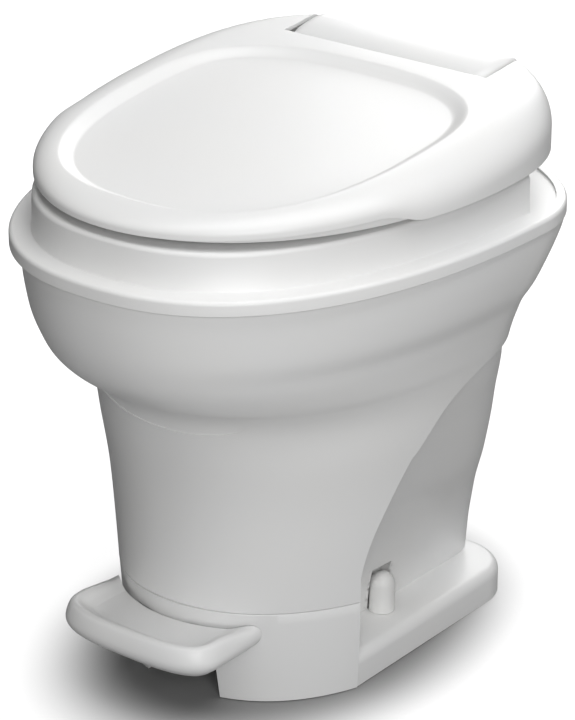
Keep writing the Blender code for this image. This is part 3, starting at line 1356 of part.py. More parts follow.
def pedal_axle():
    """The axle through the base's two ears, with its bushes and the coil spring that lifts the pedal."""
    centre = (PEDAL_AXIS_Y, PEDAL_AXIS_Z)
    rod("pedal_axle", (-EAR_OUTER_X - RING_WIDTH - 3 * GAP, *centre),
        (GEAR_X + GEAR_WIDTH + RING_WIDTH + 3 * GAP, *centre), AXLE_RADIUS, STEEL)
    for side, start_x in (("left", -EAR_OUTER_X), ("right", EAR_INNER_X)):
        sleeve("axle_bush_" + side, (start_x, *centre), BUSH_RADIUS, AXLE_RADIUS + RUNNING_GAP,
               EAR_OUTER_X - EAR_INNER_X, GREY_PLASTIC, along_x=True)
    low_x = EAR_OUTER_X + GAP + SPRING_WIRE_RADIUS
    high_x = GEAR_X - GAP - SPRING_WIRE_RADIUS
    per_turn = 12
    last = SPRING_TURNS * per_turn
    path = []
    for k in range(last + 1):
        turn = math.tau * k / per_turn
        path.append((at(k / last, low_x, high_x), PEDAL_AXIS_Y + SPRING_RADIUS * math.cos(turn),
                     PEDAL_AXIS_Z + SPRING_RADIUS * math.sin(turn)))
    wire("pedal_spring", path, SPRING_WIRE_RADIUS, STEEL)


def cam():
    """The spiral cam on the ball's left shaft end, which lifts the water valve's stem."""
    steps = 18
    opening = PEDAL_TRAVEL * PEDAL_RATIO
    tail = math.radians(25)
    clear = math.radians(20)
    up = math.pi / 2
    points = []
    for k in range(steps + 1):
        turn = at(k / steps, -tail, opening + tail)
        points += arc((BALL_Y, BALL_Z), CAM_RADIUS + CAM_LIFT * turn / opening, up + turn, up + turn, 1)[:1]
    points += arc((BALL_Y, BALL_Z), HUB_RADIUS, up + opening + tail + clear, up + math.tau - tail - clear, 8)
    disc = plate("valve_cam", points, -CAM_X - CAM_WIDTH, -CAM_X, GREY_PLASTIC)
    return cut(disc, rod("cam_bore", (-CAM_X - CAM_WIDTH - OVERRUN, BALL_Y, BALL_Z),
                         (-CAM_X + OVERRUN, BALL_Y, BALL_Z), SHAFT_RADIUS + GAP))


def water_valve():
    """The water valve above the cam, and its stem, which slides up when the cam turns."""
    low = VALVE_Z - VALVE_HALF_HEIGHT
    high = VALVE_Z + VALVE_HALF_HEIGHT
    room = 2.2
    body = rod("water_valve_body", (VALVE_X, BALL_Y, low), (VALVE_X, BALL_Y, high), VALVE_RADIUS,
               GREY_PLASTIC)
    cut(body, rod("stem_bore", (VALVE_X, BALL_Y, low - OVERRUN), (VALVE_X, BALL_Y, low + CAM_LIFT * room),
                  STEM_RADIUS + RUNNING_GAP))
    tip = BALL_Z + CAM_RADIUS + STEM_GAP
    near_tip = math.radians(-75)
    profile = [(STEM_RADIUS, low + CAM_LIFT)] + arc((0, tip + STEM_RADIUS), STEM_RADIUS, 0, near_tip, 5)
    return spun("valve_stem", profile, (VALVE_X, BALL_Y, 0), STEEL)


def inlet_fitting():
    """The water connection that goes through the column's rear wall, with its hexagon outside."""
    hexagon_y = COLUMN_REAR_Y * COLUMN_REAR_SHARES[1] + GAP
    hexagon_share = 1.4
    bore_share = 0.6
    inlet = rod("inlet_fitting", (INLET_X, inlet_inner_y(), INLET_Z), (INLET_X, -RIM_FRONT_Y, INLET_Z),
                INLET_RADIUS, GREY_PLASTIC)
    join(inlet, rod("inlet_hexagon", (INLET_X, hexagon_y, INLET_Z),
                    (INLET_X, hexagon_y + INLET_RADIUS, INLET_Z), INLET_RADIUS * hexagon_share, sides=6))
    return cut(inlet, rod("inlet_bore", (INLET_X, hexagon_y + INLET_RADIUS, INLET_Z),
                          (INLET_X, -RIM_FRONT_Y + OVERRUN, INLET_Z), INLET_RADIUS * bore_share))


def inlet_inner_y():
    """Where the inlet fitting ends inside the column."""
    return COLUMN_REAR_Y * COLUMN_REAR_SHARES[2] - OVERRUN


def breaker_levels():
    """The heights of the vacuum breaker's bottom, of its cap's bottom and of its cap's top."""
    cap_share = 0.7
    top = LIP_TOP - DECK_WALL - 2 * GAP
    cap_low = top - BREAKER_RADIUS * cap_share
    return cap_low - GAP - BREAKER_LENGTH, cap_low, top


def vacuum_breaker():
    """The upright vacuum breaker under the deck's solid rear, with its cap."""
    low, cap_low, top = breaker_levels()
    wider = 1.12
    rod("vacuum_breaker_cap", (BREAKER_X, BREAKER_Y, cap_low), (BREAKER_X, BREAKER_Y, top),
        BREAKER_RADIUS * wider, BLACK_RUBBER)
    return rod("vacuum_breaker", (BREAKER_X, BREAKER_Y, low), (BREAKER_X, BREAKER_Y, cap_low - GAP),
               BREAKER_RADIUS, GREY_PLASTIC)


def flush_nozzle():
    """The nozzle through the bowl's rear wall."""
    inner = OPENING_REAR_Y - BREAKER_RADIUS
    return rod("flush_nozzle", (NOZZLE_X, inner, NOZZLE_Z), (NOZZLE_X, nozzle_rear_y(), NOZZLE_Z),
               HOSE_RADIUS, INNER_WHITE)


def nozzle_rear_y():
    """Where the nozzle ends behind the bowl."""
    behind_share = 1.6
    return OPENING_REAR_Y + HOSE_RADIUS * behind_share


def hoses():
    """The three water hoses: inlet to valve, valve to vacuum breaker and breaker to nozzle."""
    inlet_end = Vector((INLET_X, inlet_inner_y() - GAP, INLET_Z))
    valve_side = Vector((VALVE_X, BALL_Y + VALVE_RADIUS + GAP, VALVE_Z))
    way = valve_side - inlet_end
    shares = ((0.0, 0.16, 0.0), (0.30, 0.38, 0.30), (0.78, 0.64, 0.75), (1.0, 0.86, 1.0))
    path = [inlet_end + Vector((way.x * x, way.y * y, way.z * z)) for x, y, z in shares]
    hose("supply_hose", inlet_end, path, valve_side)

    breaker_low = breaker_levels()[0]
    valve_out = Vector((VALVE_X - VALVE_RADIUS - GAP, BALL_Y, VALVE_Z + VALVE_HALF_HEIGHT * 0.4))
    breaker_in = Vector((BREAKER_X, BREAKER_Y, breaker_low - GAP))
    rise = breaker_in - valve_out
    out = BREAKER_RADIUS
    shares = ((0.75, 0.0, 0.0), (1.55, 0.11, 0.10), (2.0, 0.30, 0.28), (2.0, 0.52, 0.50), (1.3, 0.73, 0.71),
              (0.2, 0.92, 0.87))
    path = [valve_out + Vector((-out * x, rise.y * y, rise.z * z)) for x, y, z in shares]
    hose("flush_hose", valve_out, path + [breaker_in - Vector((0, 0, HOSE_RADIUS))], breaker_in)

    nozzle_end = Vector((NOZZLE_X, nozzle_rear_y() + GAP, NOZZLE_Z))
    breaker_side = Vector((BREAKER_X + BREAKER_RADIUS + GAP, BREAKER_Y, NOZZLE_Z))
    across = breaker_side - nozzle_end
    shares = ((0.0, 0.5), (0.10, 1.2), (0.32, 1.5), (0.60, 1.3), (0.85, 1.0))
    path = [nozzle_end + Vector((across.x * x, across.y * y, 0)) for x, y in shares]
    hose("link_hose", nozzle_end, path, breaker_side)


def floor_fasteners():
    """The two bolts that hold the base to the floor, each with a washer, a nut and a cap."""
    seat_level = FLANGE_HEIGHT + GAP
    nut_level = seat_level + WASHER_THICKNESS + GAP
    for side, name in ((-1, "left"), (1, "right")):
        x = side * FLOOR_BOLT_X
        y = FLOOR_BOLT_Y
        rod("floor_bolt_" + name, (x, y, FLOOR_BOLT_BOTTOM), (x, y, FLOOR_BOLT_TOP), FLOOR_BOLT_RADIUS, STEEL)
        sleeve("floor_washer_" + name, (x, y, seat_level), FLOOR_WASHER_RADIUS, FLOOR_BOLT_RADIUS + GAP,
               WASHER_THICKNESS, STEEL)
        nut = rod("floor_nut_" + name, (x, y, nut_level), (x, y, nut_level + FLOOR_NUT_HEIGHT),
                  FLOOR_NUT_RADIUS, STEEL, sides=6)
        cut(nut, rod("floor_nut_bore_" + name, (x, y, nut_level - OVERRUN), (x, y, nut_level + OVERRUN),
                     FLOOR_BOLT_RADIUS + GAP))
        dome = CAP_HEIGHT - CAP_RADIUS
        near_top = math.radians(80)
        inner_radius = CAP_RADIUS - CAP_WALL
        profile = arc((0, dome), CAP_RADIUS, near_top, 0, 6) + [(CAP_RADIUS, 0), (inner_radius, 0)]
        profile += arc((0, dome), inner_radius, 0, near_top, 6)
        spun("bolt_cap_" + name, profile, (x, y, seat_level), INNER_WHITE)


def on_axis(name, place, *pieces):
    """An empty on a joint's axis that carries the pieces of one moving body."""
    holder = bpy.data.objects.new(name, None)
    holder.location = place
    model.objects.link(holder)
    for piece in pieces:
        item = bpy.data.objects[piece]
        item.parent = holder
        item.matrix_parent_inverse = Matrix.Translation(-Vector(place))


base()
front_shroud()
toe_panel()
rim_deck()
bowl()
valve_housing()
waste_ball()
gears()
shaft_rings()
cam()
pedal_tread()
pedal_lever()
pedal_axle()
water_valve()
inlet_fitting()
vacuum_breaker()
flush_nozzle()
hoses()
seat()
seat_buffers()
lid()
lid_buffers()
hinge()
floor_fasteners()

on_axis("seat_axis", HINGE_CENTRE, "seat", "seat_buffer_front_left", "seat_buffer_front_right",
        "seat_buffer_rear_left", "seat_buffer_rear_right", "lid_buffer_left", "lid_buffer_right")
on_axis("lid_axis", HINGE_CENTRE, "lid")
on_axis("pedal_axis", PEDAL_CENTRE, "pedal_tread", "pedal_lever", "pedal_screw_left", "pedal_screw_right",
        "pedal_axle", "axle_ring_left", "axle_ring_right", "drive_sector")
on_axis("ball_axis", BALL_CENTRE, "waste_ball", "drive_pinion", "pinion_ring", "valve_cam", "cam_ring")
on_axis("stem_axis", (VALVE_X, BALL_Y, VALVE_Z), "valve_stem")
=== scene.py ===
# %% [markdown]
# A caravan toilet of white moulded plastic, dressed for a portrait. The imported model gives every
# place and size. The pieces that a visitor sees are made again here with a fine, smooth surface,
# and the pieces inside keep their solids and get a finish of their own.

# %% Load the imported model
import math

import bmesh
import bpy
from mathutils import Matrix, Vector


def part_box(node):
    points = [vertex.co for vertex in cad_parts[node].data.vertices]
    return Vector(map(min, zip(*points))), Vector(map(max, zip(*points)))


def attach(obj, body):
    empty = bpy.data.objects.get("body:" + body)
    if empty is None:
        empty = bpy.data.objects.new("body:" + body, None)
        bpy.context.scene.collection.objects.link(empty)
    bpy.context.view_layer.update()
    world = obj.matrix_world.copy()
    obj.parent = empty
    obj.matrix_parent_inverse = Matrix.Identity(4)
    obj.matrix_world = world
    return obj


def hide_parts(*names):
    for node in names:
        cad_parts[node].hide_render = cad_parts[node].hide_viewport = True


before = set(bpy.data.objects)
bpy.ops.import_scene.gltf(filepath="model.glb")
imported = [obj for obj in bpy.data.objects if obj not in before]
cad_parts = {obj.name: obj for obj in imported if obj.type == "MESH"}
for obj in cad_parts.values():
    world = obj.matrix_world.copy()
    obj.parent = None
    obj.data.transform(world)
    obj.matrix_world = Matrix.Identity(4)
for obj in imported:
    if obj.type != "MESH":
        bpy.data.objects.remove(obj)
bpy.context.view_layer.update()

# %% [markdown]
# The portrait was taken from the front right and looks down by about 24 degrees, through a long lens,
# which keeps the upright edges nearly parallel. A lens of 157 mm at two and a half metres gives that
# view. The long side of the picture is its height, and the sensor width belongs to the long side.

# %% Camera
CAMERA_PLACE = Vector((1.4110, -1.7980, 1.2380))
CAMERA_TARGET = Vector((-0.0340, 0.0480, 0.2103))
CAMERA_LENS = 156.66

camera_data = bpy.data.cameras.new("portrait_camera")
camera_data.lens = CAMERA_LENS
camera = bpy.data.objects.new("portrait_camera", camera_data)
camera.location = CAMERA_PLACE
camera.rotation_euler = (CAMERA_TARGET - CAMERA_PLACE).to_track_quat("-Z", "Y").to_euler()
bpy.context.scene.collection.objects.link(camera)
bpy.context.scene.camera = camera
print("camera stands", round((CAMERA_TARGET - CAMERA_PLACE).length, 2), "m from the toilet")

# %% [markdown]
# Shader sums read best as sums. This small class wraps one socket of a node tree and overloads the
# arithmetic signs, so that `0.2 + noise * 0.1` adds the Math nodes that it stands for.


# %% A socket that can be reckoned with
class Term:
    """One output socket of a material; sums and products with it add Math nodes."""

    def __init__(self, tree, socket):
        self.tree = tree
        self.socket = socket

    def math(self, operation, first, second):
        node = self.tree.nodes.new("ShaderNodeMath")
        node.operation = operation
        for place, value in zip(node.inputs, (first, second)):
            if isinstance(value, Term):
                self.tree.links.new(value.socket, place)
            else:
                place.default_value = value
        return Term(self.tree, node.outputs[0])

    def __add__(self, other):
        return self.math("ADD", self, other)

    def __radd__(self, other):
        return self.math("ADD", other, self)

    def __mul__(self, other):
        return self.math("MULTIPLY", self, other)


# %% [markdown]
# A finish is one Principled material. Values that are the same all over sit on the shader's own
# sockets. Only what changes over the surface is linked: the colour, the roughness and the bump.


# %% A finish and its one method for nodes
class Finish:
    """A Principled material; `node` adds any node with its settings and its sockets."""

    def __init__(self, name, **constants):
        self.material = bpy.data.materials.new(name)
        self.material.use_nodes = True
        self.tree = self.material.node_tree
        self.shader = self.tree.nodes["Principled BSDF"]
        for socket, value in constants.items():
            self.shader.inputs[socket.replace("_", " ")].default_value = value

    def node(self, kind, settings, sockets, output=0):
        added = self.tree.nodes.new("ShaderNode" + kind)
        for setting, value in settings.items():
            setattr(added, setting, value)
        for socket, value in sockets.items():
            self.put(added.inputs[socket], value)
        return Term(self.tree, added.outputs[output])

    def put(self, place, value):
        """Links a term to a socket, or sets the socket's own value."""
        if isinstance(value, Term):
            self.tree.links.new(value.socket, place)
        else:
            place.default_value = value

    def feed(self, **sockets):
        for socket, value in sockets.items():
            self.put(self.shader.inputs[socket.replace("_", " ")], value)
        return self.material


def noise(finish, scale, detail=2.0, roughness=0.5):
    """Noise in metres of the object's own frame, so that it needs no unwrapping."""
    place = finish.node("TexCoord", {}, {}, output=3)
    return finish.node("TexNoise", {}, {"Vector": place, "Scale": scale, "Detail": detail,
                                        "Roughness": roughness})


def mixed(finish, share, first, second):
    """A colour between two, by a term that runs from 0 to 1."""
    return finish.node("Mix", {"data_type": "RGBA"}, {0: share, 6: first, 7: second}, output=2)


# %% [markdown]
# The white plastic is injection moulded and polished. It is never one flat white: the skin has a
# very fine orange peel, the gloss drifts a little where the melt cooled unevenly, and hands leave
# it slightly duller in places. Two scales of noise do this, and a faint coat lies on top. The bowl is
# the glossiest of the three whites, and the small fittings are the dullest.


# %% White moulded plastic
def white_plastic(name, colour, gloss, coat, peel):
    """Moulded white plastic: its colour, its roughness, the strength of its coat and its orange peel."""
    finish = Finish(name, Coat_Weight=coat, Coat_Roughness=0.08, IOR=1.5)
    drift = noise(finish, 7.0)
    fine = noise(finish, 90.0)
    warm = (colour[0] * 1.005, colour[1] * 0.998, colour[2] * 0.985, 1)
    cool = (colour[0] * 0.990, colour[1] * 0.997, colour[2] * 1.008, 1)
    tint = mixed(finish, drift, warm, cool)
    rough = gloss - 0.03 + drift * 0.05 + fine * 0.02
    peel_bump = finish.node("Bump", {}, {"Strength": peel, "Distance": 0.0004, "Height": fine})
    return finish.feed(Base_Color=tint, Roughness=rough, Normal=peel_bump)


polished_white = white_plastic("polished_white_plastic", (0.88, 0.88, 0.875), 0.40, 0.04, 0.012)
satin_white = white_plastic("satin_white_plastic", (0.84, 0.84, 0.83), 0.46, 0.03, 0.03)
bowl_white = white_plastic("bowl_white_plastic", (0.86, 0.865, 0.86), 0.24, 0.40, 0.01)

# %% [markdown]
# Inside there are four more finishes: grey nylon for gears and valves, with the faint cloud that
# filled nylon has; rubber with a powdery bloom; drawn steel with streaks along its length; and the
# milky tube of the water hoses.


# %% Finishes of the inner pieces
def grey_nylon():
    finish = Finish("grey_nylon", IOR=1.53)
    cloud = noise(finish, 90.0, detail=4.0)
    tint = mixed(finish, cloud, (0.115, 0.12, 0.125, 1), (0.165, 0.17, 0.175, 1))
    skin = finish.node("Bump", {}, {"Strength": 0.15, "Distance": 0.0003, "Height": noise(finish, 900.0)})
    return finish.feed(Base_Color=tint, Roughness=0.42 + cloud * 0.12, Normal=skin)


def black_rubber():
    finish = Finish("black_rubber", IOR=1.5)
    bloom = noise(finish, 240.0, detail=4.0, roughness=0.6)
    tint = mixed(finish, bloom, (0.018, 0.018, 0.018, 1), (0.045, 0.045, 0.046, 1))
    skin = finish.node("Bump", {}, {"Strength": 0.2, "Distance": 0.0003, "Height": bloom})
    return finish.feed(Base_Color=tint, Roughness=0.62 + bloom * 0.2, Normal=skin)


def drawn_steel():
    finish = Finish("drawn_steel", Metallic=1.0)
    place = finish.node("TexCoord", {}, {}, output=3)
    stretched = finish.node("Mapping", {}, {"Vector": place, "Scale": (40.0, 900.0, 900.0)})
    streaks = finish.node("TexNoise", {}, {"Vector": stretched, "Scale": 1.0, "Detail": 3.0})
    tint = mixed(finish, streaks, (0.50, 0.50, 0.51, 1), (0.66, 0.66, 0.67, 1))
    return finish.feed(Base_Color=tint, Roughness=0.24 + streaks * 0.16)


def milky_hose():
    finish = Finish("milky_hose", IOR=1.48, Coat_Weight=0.2)
    cloud = noise(finish, 60.0, detail=3.0)
    tint = mixed(finish, cloud, (0.48, 0.50, 0.50, 1), (0.58, 0.60, 0.59, 1))
    return finish.feed(Base_Color=tint, Roughness=0.30 + cloud * 0.10)


finishes = {
    "nylon": grey_nylon(),
    "rubber": black_rubber(),
    "steel": drawn_steel(),
    "hose": milky_hose(),
    "satin": satin_white,
    "white": polished_white,
}
print("finishes:", ", ".join(sorted(finishes)))

# %% [markdown]
# Every solid that stays gets its finish by its name. The words of a name say what the piece is: a
# bolt is steel, a seal is rubber. What no word names is white like its neighbours.

# %% Finishes on the solids that stay
WORDS = {
    "steel": ("bolt", "nut", "washer", "ring", "pin", "axle", "spring", "stem", "screw"),
    "rubber": ("seal", "buffer", "breaker_cap"),
    "nylon": ("bush", "pinion", "sector", "cam", "inlet", "breaker", "valve_body"),
    "hose": ("hose",),
    "satin": ("saddle", "lever", "nozzle", "housing", "bolt_cap"),
}
ORDER = ("satin", "hose", "rubber", "nylon", "steel")


def finish_of(name):
    """The finish whose word is in a node's name."""
    if name in ("cam_ring", "pinion_ring"):
        return finishes["steel"]
    for kind in ORDER:
        if any(word in name for word in WORDS[kind]):
            return finishes[kind]
    return finishes["white"]


for name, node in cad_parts.items():
    node.data.materials.clear()
    node.data.materials.append(finish_of(name))
print(len(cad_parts), "solids have a finish")

# %% [markdown]
# Seen from above, nearly every shell of this toilet is an egg: widest behind the middle, and drawn
# out to the front. A superellipse with one power for the front half and another for the rear half
# draws it, and a share of inset moves it inwards by a real distance.

# %% Egg outlines
FINE_POINTS = 192


class Egg:
    """An egg seen from above: half its width, the y of its widest place, its two ends and its powers."""

    def __init__(self, half_width, centre_y, front_y, rear_y, front_power, rear_power):
        self.half_width = half_width
        self.centre_y = centre_y
        self.front = centre_y - front_y
        self.rear = rear_y - centre_y
        self.front_power = front_power
        self.rear_power = rear_power

    def point(self, turn):
        """The point at an angle, which runs from +X over the rear."""
        sine = math.sin(turn)
        cosine = math.cos(turn)
        exponent = 2 / (self.rear_power if sine >= 0 else self.front_power)
        reach = self.rear if sine >= 0 else self.front
        x = self.half_width * math.copysign(abs(cosine) ** exponent, cosine)
        return Vector((x, self.centre_y + reach * math.copysign(abs(sine) ** exponent, sine)))

    def inset(self, turn, distance):
        """The point at an angle, moved inwards."""
        step = 0.01
        along = self.point(turn + step) - self.point(turn - step)
        return self.point(turn) + Vector((-along.y, along.x)).normalized() * distance


def turns(count=FINE_POINTS):
    """The angles of a ring's points."""
    return [math.tau * k / count for k in range(count)]


def ring(egg, distance, level):
    """The points of an egg moved inwards, at a height or at one worked out from x and y."""
    points = []
    for turn in turns():
        spot = egg.inset(turn, distance)
        height = level(spot.x, spot.y) if callable(level) else level
        points.append(Vector((spot.x, spot.y, height)))
    return points


def at(share, low, high):
    """The value at a share of the way from low to high."""
    return low + (high - low) * share


def soft_step(value):
    """A smooth step from 0 to 1."""
    value = min(max(value, 0), 1)
    return value * value * (3 - 2 * value)


# %% [markdown]
# Rings of points become a shell when faces join each to the next. Smooth shading hides the facets,
# and edges sharper than 35 degrees stay crisp. A curve through a few given values gives the many
# rings between them.


# %% Lofts, cutters and smooth curves
def mesh_piece(name, shape, material):
    """An object from a bmesh, smooth but for its sharp edges."""
    bmesh.ops.recalc_face_normals(shape, faces=shape.faces)
    data = bpy.data.meshes.new(name)
    shape.to_mesh(data)
    shape.free()
    data.shade_smooth()
    data.set_sharp_from_angle(angle=math.radians(35))
    data.materials.append(material)
    piece = bpy.data.objects.new(name, data)
    bpy.context.scene.collection.objects.link(piece)
    return piece


def skin(rings, joined=False):
    """Faces from ring to ring, closed at both ends or, when joined, from the last ring to the first."""
    shape = bmesh.new()
    rows = [[shape.verts.new(point) for point in points] for points in rings]
    pairs = list(zip(rows, rows[1:]))
    if joined:
        pairs.append((rows[-1], rows[0]))
    else:
        shape.faces.new(rows[0])
        shape.faces.new(rows[-1])
    for low, high in pairs:
        for k in range(len(low)):
            after = (k + 1) % len(low)
            shape.faces.new((low[k], low[after], high[after], high[k]))
    return shape, rows


def loft(name, rings, material=polished_white, joined=False):
    """An object through rings of equally many points."""
    shape, rows = skin(rings, joined)
    return mesh_piece(name, shape, material)


def prism(name, points, way):
    """A flat outline of 3D points pushed along a way."""
    return loft(name, [points, [point + way for point in points]])


def apply_cut(piece, tool, operation="DIFFERENCE"):
    """A Boolean that is applied at once, after which the tool is removed."""
    change = piece.modifiers.new("cut", "BOOLEAN")
    change.operation = operation
    change.object = tool
    depsgraph = bpy.context.evaluated_depsgraph_get()
    data = bpy.data.meshes.new_from_object(piece.evaluated_get(depsgraph))
    piece.modifiers.clear()
    piece.data = data
    data.shade_smooth()
    data.set_sharp_from_angle(angle=math.radians(35))
    bpy.data.objects.remove(tool, do_unlink=True)
    return piece


def merge(piece, *others):
    """Adds the faces of other objects, which are then removed; they may run into each other."""
    shape = bmesh.new()
    for item in (piece, *others):
        shape.from_mesh(item.data)
    shape.to_mesh(piece.data)
    shape.free()
    piece.data.shade_smooth()
    piece.data.set_sharp_from_angle(angle=math.radians(35))
    for item in others:
        bpy.data.objects.remove(item, do_unlink=True)
    return piece


def weld(piece, reach=0.00001):
    """Joins points that two cuts left side by side."""
    shape = bmesh.new()
    shape.from_mesh(piece.data)
    bmesh.ops.remove_doubles(shape, verts=shape.verts, dist=reach)
    shape.to_mesh(piece.data)
    shape.free()
    return piece


def smooth(points, between):
    """More points on a smooth curve through the given ones, of any number of dimensions."""
    points = [Vector(point) for point in points]
    path = []
    last = len(points) - 1
    for k in range(last):
        before = points[max(k - 1, 0)]
        first = points[k]
        second = points[k + 1]
        after = points[min(k + 2, last)]
        for step in range(between):
            t = step / between
            path.append(0.5 * (2 * first + (second - before) * t
                               + (2 * before - 5 * first + 4 * second - after) * t ** 2
                               + (3 * first - before - 3 * second + after) * t ** 3))
    return [tuple(spot) for spot in path + [points[last]]]


def seat_on(piece, body, *nodes):
    """A finished piece stands for its solids and moves with their body."""
    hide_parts(*nodes)
    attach(piece, body)
    print(piece.name, "has", len(piece.data.polygons), "faces")
    return piece


# %% [markdown]
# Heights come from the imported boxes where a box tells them: the deck's top, the lip's lower edge and
# the bowl's two ends. An egg names half its width, its middle, its two ends and its two powers.

# %% Main eggs and levels
GAP = 0.0003
OVERRUN = 0.02
LIP_HEIGHT = 0.0117
LID_RISE = 0.0389
LID_SLOPE = 0.0934
SEAT_RISE = 0.0035
HINGE_Y = 0.165
HINGE_RISE = 0.035
PIN_BORE = 0.0043
RIM_CENTRE_Y = 0.080
RIM_REAR_Y = 0.210
OPENING_HALF_WIDTH = 0.128
OPENING_FRONT_Y = -0.185
OPENING_REAR_Y = 0.108
OPENING_POWER = 2.3
LID_HALF_WIDTH = 0.1804
LID_CENTRE_Y = 0.029
LID_FRONT_Y = -0.2146
LID_POWERS = (2.05, 2.6)
DISH_HALF_WIDTH = 0.1407

rim_low, rim_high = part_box("rim_deck")
DECK = rim_high.z
LIP_BOTTOM = rim_low.z
LIP_TOP = LIP_BOTTOM + LIP_HEIGHT
SHROUD_TOP = LIP_BOTTOM - GAP
LID_MIDDLE = DECK + LID_RISE
SEAT_BOTTOM = DECK + SEAT_RISE
HINGE_Z = DECK + HINGE_RISE

rim_egg = Egg(rim_high.x, RIM_CENTRE_Y, rim_low.y, RIM_REAR_Y, 2.34, 2.0)
opening_egg = Egg(OPENING_HALF_WIDTH, 0.0, OPENING_FRONT_Y, OPENING_REAR_Y, OPENING_POWER, OPENING_POWER)
lid_egg = Egg(LID_HALF_WIDTH, LID_CENTRE_Y, LID_FRONT_Y, 0.199, *LID_POWERS)
crown_egg = Egg(0.1437, 0.010, -0.1909, 0.184, 2.5, 3.2)
dish_egg = Egg(DISH_HALF_WIDTH, -0.001, -0.1879, 0.110, 2.5, 2.8)
print("deck at", round(DECK, 4), "lip from", round(LIP_BOTTOM, 4), "to", round(LIP_TOP, 4))


# %% Helpers for cutters and small solids
def box_piece(name, low, high):
    """A box between two corners."""
    footprint = ((low[0], low[1]), (high[0], low[1]), (high[0], high[1]), (low[0], high[1]))
    return prism(name, [Vector((x, y, low[2])) for x, y in footprint], Vector((0, 0, high[2] - low[2])))


def rod_piece(name, start, end, radius, count=48):
    """A round bar between two points along one axis."""
    axis = (Vector(end) - Vector(start)).normalized()
    side = axis.orthogonal().normalized()
    other = axis.cross(side)
    circle = [Vector(start) + (side * math.cos(turn) + other * math.sin(turn)) * radius
              for turn in turns(count)]
    return prism(name, circle, Vector(end) - Vector(start))


def standing_rod(name, x, y, low, high, radius, count=48):
    """A round bar upright at a place, between two heights."""
    return rod_piece(name, (x, y, low), (x, y, high), radius, count)


def copy_of(piece):
    """A second object with its own mesh."""
    copy = piece.copy()
    copy.data = piece.data.copy()
    bpy.context.scene.collection.objects.link(copy)
    return copy


def plate_piece(name, outline, low_x, high_x):
    """A flat outline of (y, z) points that is as thick as the way between two values of x."""
    points = [Vector((low_x, y, z)) for y, z in outline]
    return prism(name, points, Vector((high_x - low_x, 0, 0)))


def arc(centre, radius, start, end, count=12):
    """Points on an arc about a centre."""
    angles = [at(k / count, start, end) for k in range(count + 1)]
    return [(centre[0] + radius * math.cos(turn), centre[1] + radius * math.sin(turn)) for turn in angles]


def quarter(egg, distance, level, radius):
    """Rings of a rounded edge, from the wall over a quarter turn to the flat top."""
    rings = []
    for k in range(7):
        turn = math.pi / 2 * k / 6
        height = level - radius + radius * math.sin(turn)
        rings.append(ring(egg, distance + radius * (1 - math.cos(turn)), height))
    return rings


# %% [markdown]
# The rim deck is one ring all round: a lip with a soft edge, a step wall that rises from it in a
# small fillet, and a flat deck that rolls over into the bowl. At each rear corner the deck is
# scooped down to the lip, so that the lid's corner can swing in.

# %% Rim deck
LIP_ROUND = 0.0034
LIP_CHAMFER = 0.0006
STEP_INSET = 0.0175
STEP_LEAN = 0.001
STEP_ROUND = 0.0035
STEP_FILLET = ((0.0016, 0.0), (0.0006, 0.0004), (0.0, 0.0014))
DECK_EDGE = STEP_INSET + STEP_LEAN + STEP_ROUND
DECK_WALL = 0.004
COLLAR_DEPTH = 0.016
HIDDEN_TURN = math.radians(-10)
SCOOP_INSET = 0.0085
SCOOP_X = 0.0975
SCOOP_FRONT_Y = 0.078
SCOOP_BACK_Y = 0.104
SCOOP_DEPTH = 0.002
SCOOP_ROUND = 0.012
HINGE_BOLT_X = 0.070
HINGE_BOLT_BORE = 0.0033
deck_under = DECK - DECK_WALL
lip_under = LIP_TOP - DECK_WALL


def under_deck(egg, distance):
    """A ring of the underside, which lies lower behind, where the hinge and the scoops are."""
    points = []
    for turn in turns():
        spot = egg.inset(turn, distance)
        behind = math.sin(turn) > math.sin(HIDDEN_TURN)
        points.append(Vector((spot.x, spot.y, lip_under - GAP if behind else deck_under)))
    return points


rings = [ring(rim_egg, 0, LIP_BOTTOM + LIP_CHAMFER), ring(rim_egg, 0, LIP_TOP - LIP_ROUND)]
rings += quarter(rim_egg, 0, LIP_TOP, LIP_ROUND)[1:]
rings += [ring(rim_egg, STEP_INSET - before, LIP_TOP + above) for before, above in STEP_FILLET]
rings += quarter(rim_egg, DECK_EDGE - STEP_ROUND, DECK, STEP_ROUND)
for k in range(7):
    turn = math.pi / 2 * k / 6
    drop = STEP_ROUND * (1 - math.cos(turn))
    rings.append(ring(opening_egg, -STEP_ROUND * (1 - math.sin(turn)), DECK - drop))
rings += [ring(opening_egg, distance, DECK - COLLAR_DEPTH) for distance in (0, -DECK_WALL)]
rings += [under_deck(opening_egg, -DECK_WALL), under_deck(rim_egg, STEP_INSET + DECK_WALL)]
rings += [ring(rim_egg, STEP_INSET + DECK_WALL, lip_under), ring(rim_egg, DECK_WALL, lip_under)]
rings += [ring(rim_egg, DECK_WALL, LIP_BOTTOM), ring(rim_egg, LIP_CHAMFER, LIP_BOTTOM)]
rim = loft("rim_surface", rings, joined=True)


